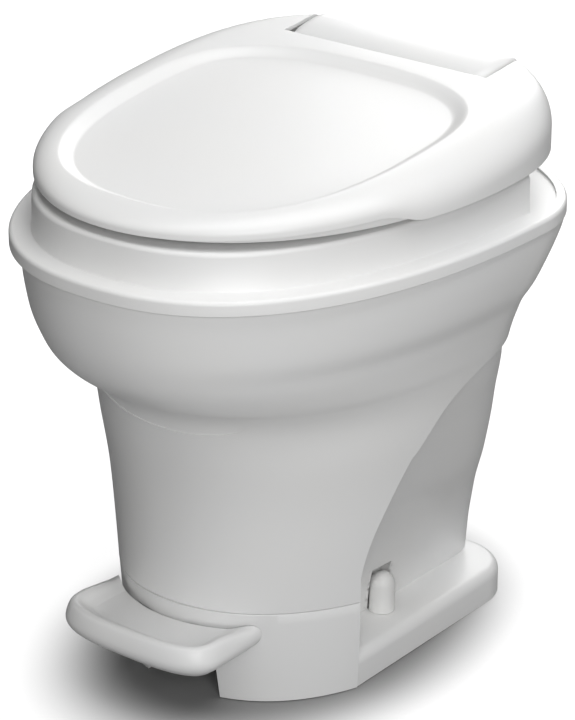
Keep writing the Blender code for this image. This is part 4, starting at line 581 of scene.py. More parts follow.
def scoop(side):
    """The hollow at a rear corner, with a floor that sweeps up into the deck's side."""
    start = math.asin((SCOOP_FRONT_Y - RIM_CENTRE_Y) / (RIM_CENTRE_Y - rim_egg.point(-math.pi / 2).y))
    end = math.acos(SCOOP_X / (rim_egg.half_width - SCOOP_INSET))
    outer = [rim_egg.inset(at(k / 40, start, end), SCOOP_INSET) for k in range(41)]
    shares = ((0.0, 1.35), (0.08, 1.05), (0.30, 0.86), (0.65, 0.50), (0.88, 0.18))
    inner = [Vector((SCOOP_X, at(2.2, SCOOP_FRONT_Y, SCOOP_BACK_Y)))]
    inner += [Vector((at(across, SCOOP_X, outer[0].x), at(back, SCOOP_FRONT_Y, SCOOP_BACK_Y)))
              for across, back in smooth(shares, 6)]
    points = [Vector((side * spot.x, spot.y, LIP_TOP - SCOOP_DEPTH)) for spot in outer + inner]
    upwards = Vector((0, 0, DECK + OVERRUN - LIP_TOP))
    shape, rows = skin([points, [point + upwards for point in points]])
    inner_low = set(rows[0][len(outer):])
    edges = [edge for edge in shape.edges if all(vert in inner_low for vert in edge.verts)]
    bmesh.ops.bevel(shape, geom=edges, offset=SCOOP_ROUND, offset_type="OFFSET", segments=8, profile=0.5,
                    affect="EDGES")
    return mesh_piece("scoop", shape, polished_white)


for side in (-1, 1):
    apply_cut(rim, scoop(side))
    apply_cut(rim, standing_rod("bolt_hole", side * HINGE_BOLT_X, HINGE_Y, SHROUD_TOP - OVERRUN,
                                DECK + OVERRUN, HINGE_BOLT_BORE))
seat_on(weld(rim), "toilet", "rim_deck")

# %% [markdown]
# The shroud is the large front shell. Its rows were read level by level: the width, the front and
# the rear of each, as shares of the rim's. A smooth curve through the rows gives eight rings for
# each. On its front a shallow oval with a crisp edge is sunk to an even depth.

# %% Front shroud
TOE_TOP = 0.0837
TOE_DROP = 0.0052
TOE_FRONT_Y = -0.150
SEAM_FOOT_Y = -0.050
SEAM_ANKLE_Y = -0.053
SEAM_KNEE_Y = -0.015
SEAM_HEEL_Y = 0.076
SEAM_END_Y = 0.150
SEAM_HEIGHT = 0.270
KNEE_SHARES = ((1.02, 0.39), (0.86, 0.495), (0.50, 0.625), (0.18, 0.725), (0.0, 0.755))
HEEL_SHARES = ((0.27, 0.865), (0.59, 0.935), (1.0, 0.975))
PARTING = 0.0008
PAST_REAR = 0.25
PAST_SIDE = 0.22
SHROUD_WALL = 0.0028
SHROUD_ROWS = (
    # height, width, front, rear, centre, power
    (0.0, 0.708, 0.633, 0.76, 0.62, 2.05), (0.27, 0.747, 0.631, 0.77, 0.62, 2.125),
    (0.44, 0.780, 0.645, 0.775, 0.62, 2.2), (0.535, 0.798, 0.661, 0.775, 0.62, 2.2),
    (0.585, 0.812, 0.690, 0.775, 0.62, 2.2), (0.625, 0.826, 0.745, 0.775, 0.62, 2.2),
    (0.655, 0.838, 0.806, 0.775, 0.62, 2.2), (0.69, 0.851, 0.860, 0.775, 0.64, 2.2),
    (0.73, 0.868, 0.905, 0.775, 0.68, 2.2), (0.775, 0.890, 0.936, 0.78, 0.73, 2.2),
    (0.83, 0.932, 0.958, 0.80, 0.80, 2.2), (0.90, 0.962, 0.973, 0.855, 0.90, 2.2),
    (0.96, 0.978, 0.981, 0.93, 0.97, 2.2), (1.0, 0.982, 0.985, 0.975, 1.0, 2.2),
)
OVAL_Z = 0.251
OVAL_HALF_WIDTH = 0.075
OVAL_HALF_HEIGHT = 0.0165
OVAL_DEPTH = 0.0009
OVAL_REACH = 0.14


def toe_top(x, y):
    """The upper edge of the toe panel, which falls from the front towards the seam."""
    share = (y - TOE_FRONT_Y) / (SEAM_ANKLE_Y - TOE_FRONT_Y)
    return TOE_TOP - TOE_DROP * min(max(share, 0), 1) ** 0.6


def seam_line():
    """The swept rear edge of shroud and toe panel, as (y, z) points."""
    foot = [(SEAM_FOOT_Y, 0.0), (SEAM_ANKLE_Y, TOE_TOP)]
    knee = [(at(back, SEAM_KNEE_Y, SEAM_ANKLE_Y), SEAM_HEIGHT * up) for back, up in KNEE_SHARES]
    heel = [(at(back, SEAM_KNEE_Y, SEAM_HEEL_Y), SEAM_HEIGHT * up) for back, up in HEEL_SHARES]
    return smooth(foot + knee + heel + [(SEAM_END_Y, SEAM_HEIGHT)], 10)


def behind_seam():
    """A solid that fills all that lies behind and below the seam."""
    curve = seam_line()
    outline = [(curve[0][0], -OVERRUN)] + curve[1:] + [(PAST_REAR, SEAM_HEIGHT), (PAST_REAR, -OVERRUN)]
    return plate_piece("behind_seam", outline, -PAST_SIDE, PAST_SIDE)


def shroud_ring(row, distance):
    """One ring of the shroud from a row of its table."""
    height, width, front, rear, centre, exponent = row
    egg = Egg(width * rim_egg.half_width, centre * RIM_CENTRE_Y, front * rim_low.y, rear * RIM_REAR_Y,
              exponent, exponent)
    if height <= 0.0:
        return ring(egg, distance, lambda x, y: toe_top(x, y) + PARTING)
    sag = TOE_TOP + GAP - (toe_top(0, SEAM_ANKLE_Y) + PARTING)
    near_edge = max(0, 1 - height / 0.05)
    level = at(height, TOE_TOP + GAP, SHROUD_TOP)
    return ring(egg, distance, lambda x, y: level - sag * near_edge * soft_step((y - TOE_FRONT_Y) / 0.1))


rows = smooth(SHROUD_ROWS, 8)
outer = [shroud_ring(row, 0) for row in rows]
inner = [shroud_ring(row, SHROUD_WALL) for row in reversed(rows)]
shroud = loft("shroud_shell", outer + inner, joined=True)
apply_cut(shroud, behind_seam())
front_y = shroud_ring(rows[-1], 0)[FINE_POINTS * 3 // 4].y - OVERRUN
outline = [Vector((OVAL_HALF_WIDTH * math.cos(turn), front_y, OVAL_Z + OVAL_HALF_HEIGHT * math.sin(turn)))
           for turn in turns(96)]
oval = prism("oval", outline, Vector((0, OVAL_REACH, 0)))
apply_cut(oval, loft("oval_floor", [shroud_ring(row, OVAL_DEPTH) for row in rows]))
apply_cut(shroud, oval)
seat_on(shroud, "toilet", "front_shroud")

# %% [markdown]
# Below a fine parting line sits the toe panel. It leans out a little towards the top, its upper edge
# falls towards the sides, and a slot at the front lets the pedal's lever through.

# %% Toe panel
TOE_WALL = 0.0032
TOE_LEDGE = 0.0094
TOE_LEDGE_HEIGHT = 0.003
TOE_EDGE = ((0.0, 0.0008), (0.0003, 0.0003), (0.0010, 0.0))
TOE_HALF_WIDTH = 0.1370
TOE_FLOOR_HALF_WIDTH = 0.1280
TOE_CENTRE_Y = 0.049
TOE_FLOOR_FRONT_Y = -0.1340
TOE_REAR_Y = 0.120
TOE_POWER = 2.0
TOE_FLOOR_POWER = 2.29
SLOT_HALF_WIDTH = 0.037
SLOT_HEIGHT = 0.0664


def toe_egg(share):
    """The toe panel's egg at a share of its height."""
    exponent = at(share, TOE_FLOOR_POWER, TOE_POWER)
    return Egg(at(share, TOE_FLOOR_HALF_WIDTH, TOE_HALF_WIDTH), TOE_CENTRE_Y,
               at(share, TOE_FLOOR_FRONT_Y, TOE_FRONT_Y), TOE_REAR_Y, exponent, exponent)


def toe_level(share, drop=0.0):
    """A level at a share of the panel's height, or at a drop under it."""
    return lambda x, y: (toe_top(x, y) - drop) * share


toe_floor = toe_egg(0)
toe_upper = toe_egg(1)
rings = [ring(toe_upper, distance, toe_level(1, TOE_LEDGE_HEIGHT)) for distance in (TOE_LEDGE, TOE_WALL)]
rings += [ring(toe_floor, TOE_WALL, 0.0), ring(toe_floor, 0, 0.0)]
rings += [ring(toe_egg(k / 8), 0, toe_level(k / 8)) for k in range(1, 8)]
rings += [ring(toe_upper, distance, toe_level(1, drop)) for distance, drop in TOE_EDGE]
rings += [ring(toe_upper, TOE_LEDGE, toe_top)]
toe = loft("toe_surface", rings, joined=True)
apply_cut(toe, behind_seam())
apply_cut(toe, box_piece("pedal_slot", (-SLOT_HALF_WIDTH, TOE_FRONT_Y - OVERRUN, -OVERRUN),
                         (SLOT_HALF_WIDTH, TOE_CENTRE_Y, SLOT_HEIGHT)))
seat_on(toe, "toilet", "toe_panel")

# %% [markdown]
# Behind the shroud the column spreads upwards from the foot flange. On each side it swells into a
# soft boss behind the bolt. The flange has round rear corners and a rolled upper edge.

# %% Base with its column
FLANGE = 0.027
FLANGE_HALF_WIDTH = 0.1125
FLANGE_CORNER = 0.045
FLANGE_FRONT_Y = -0.0495
FLANGE_REAR_Y = 0.178
FLANGE_ROUND = 0.009
COLUMN_HALF_WIDTH = 0.0715
COLUMN_CENTRE_Y = 0.050
COLUMN_REAR_Y = 0.172
COLUMN_STRAIGHT_Y = 0.014
COLUMN_TAPER_Y = 0.10
COLUMN_WALL = 0.004
COLUMN_TOP = 0.264
COLUMN_ROWS = (
    # height, width, rear, power, taper
    (0.0, 1.0, 1.0, 8.0, 0.102), (0.16, 1.10, 0.995, 6.8, 0.083), (0.31, 1.29, 0.985, 4.96, 0.066),
    (0.47, 1.55, 0.955, 4.0, 0.051), (0.64, 1.76, 0.940, 3.36, 0.037), (0.76, 1.90, 0.925, 2.96, 0.025),
    (0.90, 2.07, 0.915, 2.56, 0.012), (1.0, 2.155, 0.915, 2.24, 0.0),
)
BOSS_Y = 0.045
BOSS_Z = 0.060
BOSS_REACH_Y = 0.037
BOSS_REACH_Z = 0.072
BOSS_HEIGHT = 0.0042
OPEN_FRONT = ((-0.24, -OVERRUN), (-0.068, -OVERRUN), (-0.068, 0.115), (-0.041, 0.150),
              (-0.041, SHROUD_TOP), (-0.24, SHROUD_TOP))
FLOOR_BOLT_X = 0.080
FLOOR_BOLT_Y = 0.027
FLOOR_BOLT_BORE = 0.0038
POCKET_RADIUS = 0.0119
POCKET_TOP = 0.06635
LINING_RADIUS = 0.0149
LINING_TOP = 0.06935
EAR_INNER_X = 0.040
EAR_OUTER_X = 0.052
EAR_FRONT_Y = -0.075
EAR_REAR_Y = -0.0295
EAR_TOP = 0.072
AXLE_Y = -0.058
AXLE_Z = 0.060
BUSH_BORE = 0.0065
OUTLET_Y = 0.020
OUTLET_BORE = 0.0448
SEAL_RADIUS = 0.0658
SEAL_DEPTH = 0.006
INLET_X = -0.040
INLET_Z = 0.110
INLET_BORE = 0.0108


def column_ring(row, distance, boss=0.0):
    """One ring of the column; the boss swells its outer face."""
    height, width, rear, exponent, taper = row
    egg = Egg(width * COLUMN_HALF_WIDTH, COLUMN_CENTRE_Y, TOE_FRONT_Y, rear * COLUMN_REAR_Y,
              exponent, exponent)
    points = ring(egg, distance, at(height, FLANGE - GAP, COLUMN_TOP))
    for point in points:
        point.x *= 1 + taper * (max(point.y, COLUMN_STRAIGHT_Y) - COLUMN_TAPER_Y) / COLUMN_REAR_Y
        reach = math.hypot((point.y - BOSS_Y) / BOSS_REACH_Y, (point.z - BOSS_Z) / BOSS_REACH_Z)
        swell = boss * (1 - min(reach, 1) ** 2) ** 2
        point.x += math.copysign(swell, point.x) if point.y < 0.15 else 0
    return points


rows = smooth(COLUMN_ROWS, 8)
outer = [column_ring(row, 0, BOSS_HEIGHT) for row in rows]
inner = [column_ring(row, COLUMN_WALL) for row in reversed(rows)]
column = loft("column_surface", outer + inner, joined=True)
apply_cut(column, plate_piece("open_front", OPEN_FRONT, -0.21, 0.21))


def flange_outline(inset):
    """The foot flange seen from above, with round rear corners; its front edge stays square."""
    half = FLANGE_HALF_WIDTH - inset
    corner = FLANGE_CORNER - inset
    rear = FLANGE_REAR_Y - inset
    points = [(-half, FLANGE_FRONT_Y), (half, FLANGE_FRONT_Y)]
    points += arc((half - corner, rear - corner), corner, 0, math.pi / 2, 24)
    points += arc((corner - half, rear - corner), corner, math.pi / 2, math.pi, 24)
    return points


rolls = [(0.0, 0.0)]
rolls += [(FLANGE_ROUND * (1 - math.cos(turn)), FLANGE - FLANGE_ROUND + FLANGE_ROUND * math.sin(turn))
          for turn in [math.pi / 2 * k / 8 for k in range(9)]]
rings = [[Vector((x, y, height)) for x, y in flange_outline(inset)] for inset, height in rolls]
flange = loft("base_surface", rings)
solid = loft("column_solid", outer)
apply_cut(flange, column, "UNION")
extras = []
for side in (-1, 1):
    spot = (side * FLOOR_BOLT_X, FLOOR_BOLT_Y)
    lining = standing_rod("pocket_lining", *spot, FLANGE - 0.001, LINING_TOP, LINING_RADIUS)
    apply_cut(lining, copy_of(solid), "INTERSECT")
    for piece in (lining, flange):
        apply_cut(piece, standing_rod("pocket", *spot, FLANGE, POCKET_TOP, POCKET_RADIUS))
    apply_cut(flange, standing_rod("bolt_hole", *spot, -OVERRUN, FLANGE + OVERRUN, FLOOR_BOLT_BORE))
    low_x, high_x = sorted((side * EAR_INNER_X, side * EAR_OUTER_X))
    ear = box_piece("pedal_ear", (low_x, EAR_FRONT_Y, 0.0), (high_x, EAR_REAR_Y, EAR_TOP))
    apply_cut(ear, rod_piece("bush_bore", (-FLANGE_HALF_WIDTH, AXLE_Y, AXLE_Z),
                             (FLANGE_HALF_WIDTH, AXLE_Y, AXLE_Z), BUSH_BORE))
    extras += [lining, ear]
bpy.data.objects.remove(solid, do_unlink=True)
apply_cut(flange, standing_rod("outlet", 0, OUTLET_Y, -OVERRUN, FLANGE + OVERRUN, OUTLET_BORE, 96))
apply_cut(flange, standing_rod("seal_recess", 0, OUTLET_Y, -OVERRUN, SEAL_DEPTH, SEAL_RADIUS, 96))
apply_cut(flange, rod_piece("inlet", (INLET_X, 0.070, INLET_Z), (INLET_X, COLUMN_REAR_Y + OVERRUN, INLET_Z),
                            INLET_BORE))
merge(flange, *extras)
seat_on(flange, "toilet", "base")

# %% [markdown]
# Behind each side edge of the toe panel and of the shroud a thin wall turns in towards the column, so
# the seam stays closed when it is seen from behind.


# %% Return walls behind the seam
RETURN_AIR = 0.001
RETURN_FRONT_Y = -0.0560
RETURN_REAR_Y = -0.0535
RETURN_TOP = 0.077
RETURN_THICKNESS = 0.0025
RETURN_START = 0.0012
RETURN_END = SEAM_HEIGHT - 0.022


def column_room():
    """The column with a little air about it."""
    foot = [Vector((point.x, point.y, -OVERRUN)) for point in column_ring(rows[0], -RETURN_AIR)]
    return loft("column_room", [foot] + [column_ring(row, -RETURN_AIR) for row in rows])


toe_walls = box_piece("toe_walls", (-TOE_HALF_WIDTH, RETURN_FRONT_Y, RETURN_AIR),
                      (TOE_HALF_WIDTH, RETURN_REAR_Y, TOE_TOP))
filled = [ring(toe_floor, TOE_WALL / 2, 0.0), ring(toe_upper, TOE_WALL / 2, RETURN_TOP)]
apply_cut(toe_walls, loft("toe_filled", filled), "INTERSECT")
apply_cut(toe_walls, column_room())
curve = [(SEAM_ANKLE_Y, toe_top(0, SEAM_ANKLE_Y) + RETURN_START)]
curve += [spot for spot in seam_line() if TOE_TOP + 0.0015 < spot[1] < RETURN_END]
band = curve + [(y - RETURN_THICKNESS, z + 0.0010) for y, z in reversed(curve)]
shroud_walls = plate_piece("shroud_walls", band, -0.19, 0.19)
filled = [shroud_ring(row, SHROUD_WALL / 2) for row in smooth(SHROUD_ROWS, 4)]
apply_cut(shroud_walls, loft("shroud_filled", filled), "INTERSECT")
apply_cut(shroud_walls, column_room())
print("return walls have", len(toe_walls.data.polygons), "and", len(shroud_walls.data.polygons), "faces")
merge(toe, toe_walls)
merge(shroud, shroud_walls)

# %% [markdown]
# The bowl is a funnel: it takes the deck's opening at the top and narrows to the round outlet over
# the valve. Its inner face is glossier than the rest.

# %% Bowl
bowl_low, bowl_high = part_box("bowl")
BOWL_WALL = 0.0035
BOWL_OUTLET = 0.038
BOWL_FOOT = 0.0605
NOZZLE_X = -0.015
NOZZLE_DEPTH = 0.063
NOZZLE_BORE = 0.0063
BOWL_SHARES = ((1.0, 1.0), (0.86, 0.99), (0.70, 0.94), (0.55, 0.85), (0.40, 0.70), (0.26, 0.48),
               (0.14, 0.22), (0.06, 0.05), (0.0, 0.0))


def bowl_egg(share):
    """The bowl's egg: the deck's opening at share 1 and the round outlet at share 0."""
    exponent = at(share, 2.0, OPENING_POWER)
    return Egg(at(share, BOWL_OUTLET, OPENING_HALF_WIDTH), at(share, OUTLET_Y, 0.0),
               at(share, -0.018, OPENING_FRONT_Y), at(share, 0.058, OPENING_REAR_Y), exponent, exponent)


fine_levels = smooth(BOWL_SHARES, 6)
inner = [ring(bowl_egg(max(size, 0)), 0, at(height, bowl_low.z, bowl_high.z))
         for height, size in fine_levels]
foot = BOWL_FOOT - BOWL_OUTLET - GAP
outer = [ring(bowl_egg(0), -foot, bowl_low.z + rise) for rise in (0, BOWL_WALL)]
outer += [ring(bowl_egg(size), -BOWL_WALL, at(height, bowl_low.z, bowl_high.z))
          for height, size in reversed(fine_levels) if height > 0.05]
bowl = loft("bowl_surface", inner + outer, bowl_white, joined=True)
apply_cut(bowl, rod_piece("nozzle_hole", (NOZZLE_X, 0.060, DECK - NOZZLE_DEPTH),
                          (NOZZLE_X, OPENING_REAR_Y + OVERRUN, DECK - NOZZLE_DEPTH), NOZZLE_BORE))
seat_on(bowl, "toilet", "bowl")

# %% [markdown]
# The lid is a closed shell. Its middle is dished, a soft crest runs round the dish, and from the
# crest the side rolls down to a thin edge. The top plane slopes up towards the hinge. The same
# surface, moved inwards by the wall, is its underside.

# %% Lid
LID_WALL = 0.003
DISH_DEPTH = 0.006
DISH_BLEND = 0.014
DISH_MIDDLE_Y = -0.010
CROWN_RINGS = 20
EDGE_SLOPE = 0.0473
EDGE_RISE = 0.0172
EDGE_STEP_Y = -0.090
EDGE_STEP_LENGTH = 0.042
EDGE_BEHIND = 0.004
SIDE_HEIGHT = 0.030
LUG_INNER_X = 0.099
LUG_OUTER_X = 0.108
LUG_RADIUS = 0.009
EAR_AIR = 0.0007
EAR_THICKNESS = 0.008
NOTCH_HALF_WIDTH = 0.100
NOTCH_FRONT_Y = 0.1285


def lid_top(x, y):
    """The sloping plane of the lid's top."""
    return LID_MIDDLE + LID_SLOPE * y


def lid_edge(x, y):
    """The lid's lower edge, which steps down to the deck towards the hinge."""
    share = soft_step((y - EDGE_STEP_Y) / EDGE_STEP_LENGTH)
    return at(share, DECK + EDGE_RISE + EDGE_SLOPE * y, DECK + EDGE_BEHIND)


def crown_ring(share, inward):
    """One ring of the rounded side, from its crest at share 0 to its foot at share 1."""
    turn = share * math.pi / 2
    points = []
    for angle in turns():
        spot = crown_egg.point(angle).lerp(lid_egg.inset(angle, inward), math.sin(turn))
        top = lid_top(spot.x, spot.y)
        foot = max(lid_edge(spot.x, spot.y) + LID_WALL, top - SIDE_HEIGHT)
        points.append(Vector((spot.x, spot.y, at(1 - math.cos(turn), top, foot) - inward * math.cos(turn))))
    return points


def lid_skin(inward):
    """The rings of the lid's outer face, or of a face inside its wall, from the dish to the edge."""
    rings = []
    for share in (0.10, 0.30, 0.50, 0.70):
        inside = Egg(DISH_HALF_WIDTH * share, DISH_MIDDLE_Y, DISH_MIDDLE_Y - 0.178 * share,
                     DISH_MIDDLE_Y + 0.120 * share, OPENING_POWER, OPENING_POWER)
        rings.append(ring(inside, 0, lambda x, y: lid_top(x, y) - DISH_DEPTH - inward))
    for k in range(13):
        share = k / 12
        depth = DISH_DEPTH * (1 - soft_step(share)) + inward
        rings.append(ring(dish_egg, DISH_BLEND * (1 - share) + inward, lambda x, y: lid_top(x, y) - depth))
    rings += [crown_ring(k / CROWN_RINGS, inward) for k in range(CROWN_RINGS + 1)]
    return rings + [ring(lid_egg, inward, lid_edge)]


cover = loft("lid_surface", lid_skin(0) + list(reversed(lid_skin(LID_WALL))))
filled = loft("lid_filled", lid_skin(LID_WALL / 2))
ear_inner = LUG_OUTER_X + EAR_AIR
ear_outer = ear_inner + EAR_THICKNESS
for side in (-1, 1):
    low_x, high_x = sorted((side * ear_inner, side * ear_outer))
    outline = [(HINGE_Y - LUG_RADIUS, LID_MIDDLE + OVERRUN)]
    outline += arc((HINGE_Y, HINGE_Z), LUG_RADIUS, math.pi, math.tau, 24)
    outline += [(HINGE_Y + LUG_RADIUS, LID_MIDDLE + OVERRUN)]
    ear = apply_cut(plate_piece("lid_ear", outline, low_x, high_x), copy_of(filled), "INTERSECT")
    apply_cut(cover, ear, "UNION")
bpy.data.objects.remove(filled, do_unlink=True)
apply_cut(cover, box_piece("hinge_notch", (-NOTCH_HALF_WIDTH, NOTCH_FRONT_Y, 0.2),
                           (NOTCH_HALF_WIDTH, PAST_REAR, DECK + 0.08)))
apply_cut(cover, box_piece("lug_relief", (GAP - ear_inner, HINGE_Y + 0.011, DECK),
                           (ear_inner - GAP, PAST_SIDE, HINGE_Z)))
apply_cut(cover, rod_piece("pin_bore", (-ear_outer - 0.005, HINGE_Y, HINGE_Z),
                           (ear_outer + 0.005, HINGE_Y, HINGE_Z), PIN_BORE))
seat_on(cover, "lid", "lid")

# %% [markdown]
# The seat is a ring under the lid, a little smaller all round, with soft edges and a rolled inner
# slope. Two lugs at the back carry it on the hinge pin.

# %% Seat
SEAT_INSET = 0.0075
SEAT_THICKNESS = 0.0075
SEAT_SLOPE = 0.050
SEAT_REAR_Y = 0.112
SEAT_ROUND = 0.004
seat_egg = Egg(LID_HALF_WIDTH - SEAT_INSET, LID_CENTRE_Y, LID_FRONT_Y + SEAT_INSET, SEAT_REAR_Y,
               *LID_POWERS)
hole_egg = Egg(0.105, -0.030, -0.155, 0.085, 2.1, 2.1)


def seat_top(depth):
    """A level at a depth under the seat's top, which rises gently towards the hinge."""
    return lambda x, y: SEAT_BOTTOM + SEAT_THICKNESS + SEAT_SLOPE * (y - LID_FRONT_Y) - depth


rings = [ring(seat_egg, SEAT_ROUND * 0.5, SEAT_BOTTOM), ring(seat_egg, 0.0005, SEAT_BOTTOM + 0.0006)]
rings += [ring(seat_egg, 0, SEAT_BOTTOM + SEAT_ROUND * 0.5)]
for k in range(7):
    turn = math.pi / 2 * k / 6
    level = seat_top(SEAT_ROUND * (1 - math.sin(turn)))
    rings.append(ring(seat_egg, SEAT_ROUND * (1 - math.cos(turn)), level))
for k in range(9):
    turn = math.pi / 2 * k / 8
    level = seat_top(SEAT_ROUND * 1.6 * (1 - math.cos(turn)))
    rings.append(ring(hole_egg, -SEAT_ROUND * 3 * (1 - math.sin(turn)), level))
rings += [ring(hole_egg, 0, SEAT_BOTTOM + SEAT_ROUND * 0.5)]
rings += [ring(hole_egg, -SEAT_ROUND * 0.5, SEAT_BOTTOM)]
seat = loft("seat_surface", rings, joined=True)
root_y = SEAT_REAR_Y - LUG_RADIUS
low = SEAT_BOTTOM + SEAT_ROUND * 0.3
high = seat_top(SEAT_ROUND * 0.3)(0, root_y)
for side in (-1, 1):
    low_x, high_x = sorted((side * LUG_INNER_X, side * LUG_OUTER_X))
    outline = [(root_y, high), (root_y, low), (SEAT_REAR_Y + SEAT_ROUND, low + SEAT_ROUND),
               (HINGE_Y - LUG_RADIUS * 1.3, HINGE_Z - LUG_RADIUS)]
    outline += arc((HINGE_Y, HINGE_Z), LUG_RADIUS, -math.pi / 2, math.pi * 0.6, 24)
    apply_cut(seat, plate_piece("seat_lug", outline, low_x, high_x), "UNION")
apply_cut(seat, rod_piece("pin_bore", (-LUG_OUTER_X - 0.005, HINGE_Y, HINGE_Z),
                          (LUG_OUTER_X + 0.005, HINGE_Y, HINGE_Z), PIN_BORE))
seat_on(seat, "seat", "seat")

# %% [markdown]
# The hinge cover is the hump behind the lid. Its ends are rounded, so that the light turns softly
# round them. Rings along its length carry one cross-section, which shrinks near both ends.

# %% Hinge cover
COVER_HALF = 0.0965
COVER_FRONT = 0.1305
COVER_REAR = 0.1890
COVER_TOP = DECK + 0.057
COVER_WALL = 0.0025
COVER_CORNER = 0.010


def cover_section(shrink, foot):
    """The cover's (y, z) outline from its front foot over the top to its rear foot."""
    front = COVER_FRONT + shrink
    rear = COVER_REAR - shrink
    rise = COVER_TOP - LID_MIDDLE - LID_SLOPE * COVER_FRONT
    shares = ((0.0, 1.15), (0.10, 0.72), (0.28, 0.30), (0.45, 0.08), (0.60, 0.0), (0.76, 0.22),
              (0.88, 0.90), (0.96, 2.1), (1.0, 3.8))
    curve = [(at(back, front, rear), COVER_TOP - shrink - max(down, 0) * rise)
             for back, down in smooth(shares, 5)]
    return [(front, foot)] + curve + [(rear, foot)]


def cover_rings(half, corner, shrink, foot):
    """Sections along the cover, drawn in near both ends on a quarter circle."""
    places = []
    for k in range(9):
        turn = math.pi / 2 * k / 8
        places.append((-half + corner * (1 - math.cos(turn)), corner * (1 - math.sin(turn))))
    places += [(-x, drawn) for x, drawn in reversed(places)]
    rings = []
    for x, drawn in places:
        section = cover_section(shrink + drawn * 0.6, foot)
        rings.append([Vector((x, y, z)) for y, z in section])
    return rings


hump = loft("hinge_cover_surface", cover_rings(COVER_HALF, COVER_CORNER, 0.0, DECK + GAP))
hollow = cover_rings(COVER_HALF - COVER_WALL, COVER_CORNER, COVER_WALL, DECK - OVERRUN)
apply_cut(hump, loft("cover_hollow", hollow))
apply_cut(hump, rod_piece("pin_bore", (-COVER_HALF - OVERRUN, HINGE_Y, HINGE_Z),
                          (COVER_HALF + OVERRUN, HINGE_Y, HINGE_Z), PIN_BORE))
seat_on(hump, "toilet", "hinge_cover")

# %% [markdown]
# The foot pedal has a shallow dish and a round rim, which drops towards the toe panel and ends there
# in two horns. The rim is a closed tube of rings: up from the dish, over the crest, down the outside
# and back underneath.

# %% Pedal tread
TREAD_LOW = 0.052
TREAD_CREST = 0.078
TREAD_DISH = 0.0695
TREAD_WALL = 0.0038
TREAD_RIM = 0.0175
TREAD_HALF_WIDTH = 0.0750
TREAD_CENTRE_Y = -0.167
TREAD_FRONT = -0.039
TREAD_REAR = 0.127
TREAD_POWER = 3.0
TREAD_FALL = 0.005
MIDDLE_SHARE = 0.45
SCREW_X = 0.017 * 0.55
SCREW_BORE = 0.0023
dish_share = (TREAD_DISH - TREAD_LOW) / (TREAD_CREST - TREAD_LOW)


def tread_outline(size):
    """The tread's egg at a share of its size."""
    return Egg(TREAD_HALF_WIDTH * size, TREAD_CENTRE_Y, TREAD_CENTRE_Y + TREAD_FRONT * size,
               TREAD_CENTRE_Y + TREAD_REAR * size, TREAD_POWER, TREAD_POWER)


tread_egg = tread_outline(1)
middle_egg = tread_outline(MIDDLE_SHARE)


def tread_ring(inset, rise):
    """One ring of the tread; its rim falls towards the toe panel."""
    rim_share = max(rise - dish_share, 0) / (1 - dish_share)

    def level(x, y):
        back = min(max((y - TREAD_CENTRE_Y) / (TOE_FLOOR_FRONT_Y - TREAD_CENTRE_Y), 0), 1)
        return at(rise, TREAD_LOW, TREAD_CREST) - TREAD_FALL * rim_share * back

    return ring(tread_egg, TREAD_RIM * inset, level)


outer_shares = ((1.30, dish_share), (0.95, 0.79), (0.68, 0.94), (0.46, 1.0), (0.20, 0.915), (0.0, 0.52),
                (0.12, 0.25), (0.55, 0.0))
inner_shares = ((0.72, 0.04), (0.42, 0.35), (0.40, 0.58), (0.62, 0.84), (1.10, 0.64))
under = (1.40, dish_share - TREAD_WALL / (TREAD_CREST - TREAD_LOW))
rings = [ring(middle_egg, 0, TREAD_DISH)]
rings += [tread_ring(max(inset, 0), min(rise, 1)) for inset, rise in smooth(outer_shares, 6)]
rings += [tread_ring(*shares) for shares in inner_shares + (under,)]
rings += [ring(middle_egg, 0, TREAD_DISH - TREAD_WALL)]
tread = loft("pedal_tread_surface", rings)
back_rings = [ring(Egg(0.140, TOE_CENTRE_Y, -0.146, 0.132, TOE_FLOOR_POWER, TOE_FLOOR_POWER), 0, 0.0),
              ring(Egg(0.1395, TOE_CENTRE_Y, -0.1525, 0.1225, TOE_POWER, TOE_POWER), 0, TOE_TOP)]
apply_cut(tread, loft("tread_back", back_rings))
screw_y = at(0.275, -0.182, TOE_FRONT_Y)
for side in (-1, 1):
    apply_cut(tread, standing_rod("screw_bore", side * SCREW_X, screw_y, TREAD_LOW,
                                  TREAD_DISH - TREAD_WALL * 0.4 + GAP, SCREW_BORE))
seat_on(tread, "pedal", "pedal_tread")

# %% [markdown]
# Two slim caps with round tops hide the floor bolts. They are turned shapes with many sides.

# %% Bolt caps
CAP_WALL = 0.0016
CAP_CHAMFER = 0.0003
CAP_TURNS = [math.radians(88) * k / 14 for k in range(15)]

for name in ("bolt_cap_left", "bolt_cap_right"):
    low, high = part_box(name)
    middle = (low + high) / 2
    radius = (high.x - low.x) / 2
    dome = high.z - radius
    bore = radius - CAP_WALL
    profile = [(bore, low.z), (radius - CAP_CHAMFER, low.z), (radius, low.z + CAP_CHAMFER)]
    profile += [(radius * math.cos(turn), dome + radius * math.sin(turn)) for turn in CAP_TURNS]
    profile += [(bore * math.cos(turn), dome + bore * math.sin(turn)) for turn in reversed(CAP_TURNS)]
    rings = [[Vector((middle.x + reach * math.cos(turn), middle.y + reach * math.sin(turn), height))
              for turn in turns(64)] for reach, height in profile]
    outside = list(reversed(rings[:len(CAP_TURNS) + 3]))
    inside = list(reversed(rings[len(outside):]))
    cap = loft(name + "_surface", outside + [rings[0]] + inside, satin_white)
    seat_on(cap, "toilet", name)
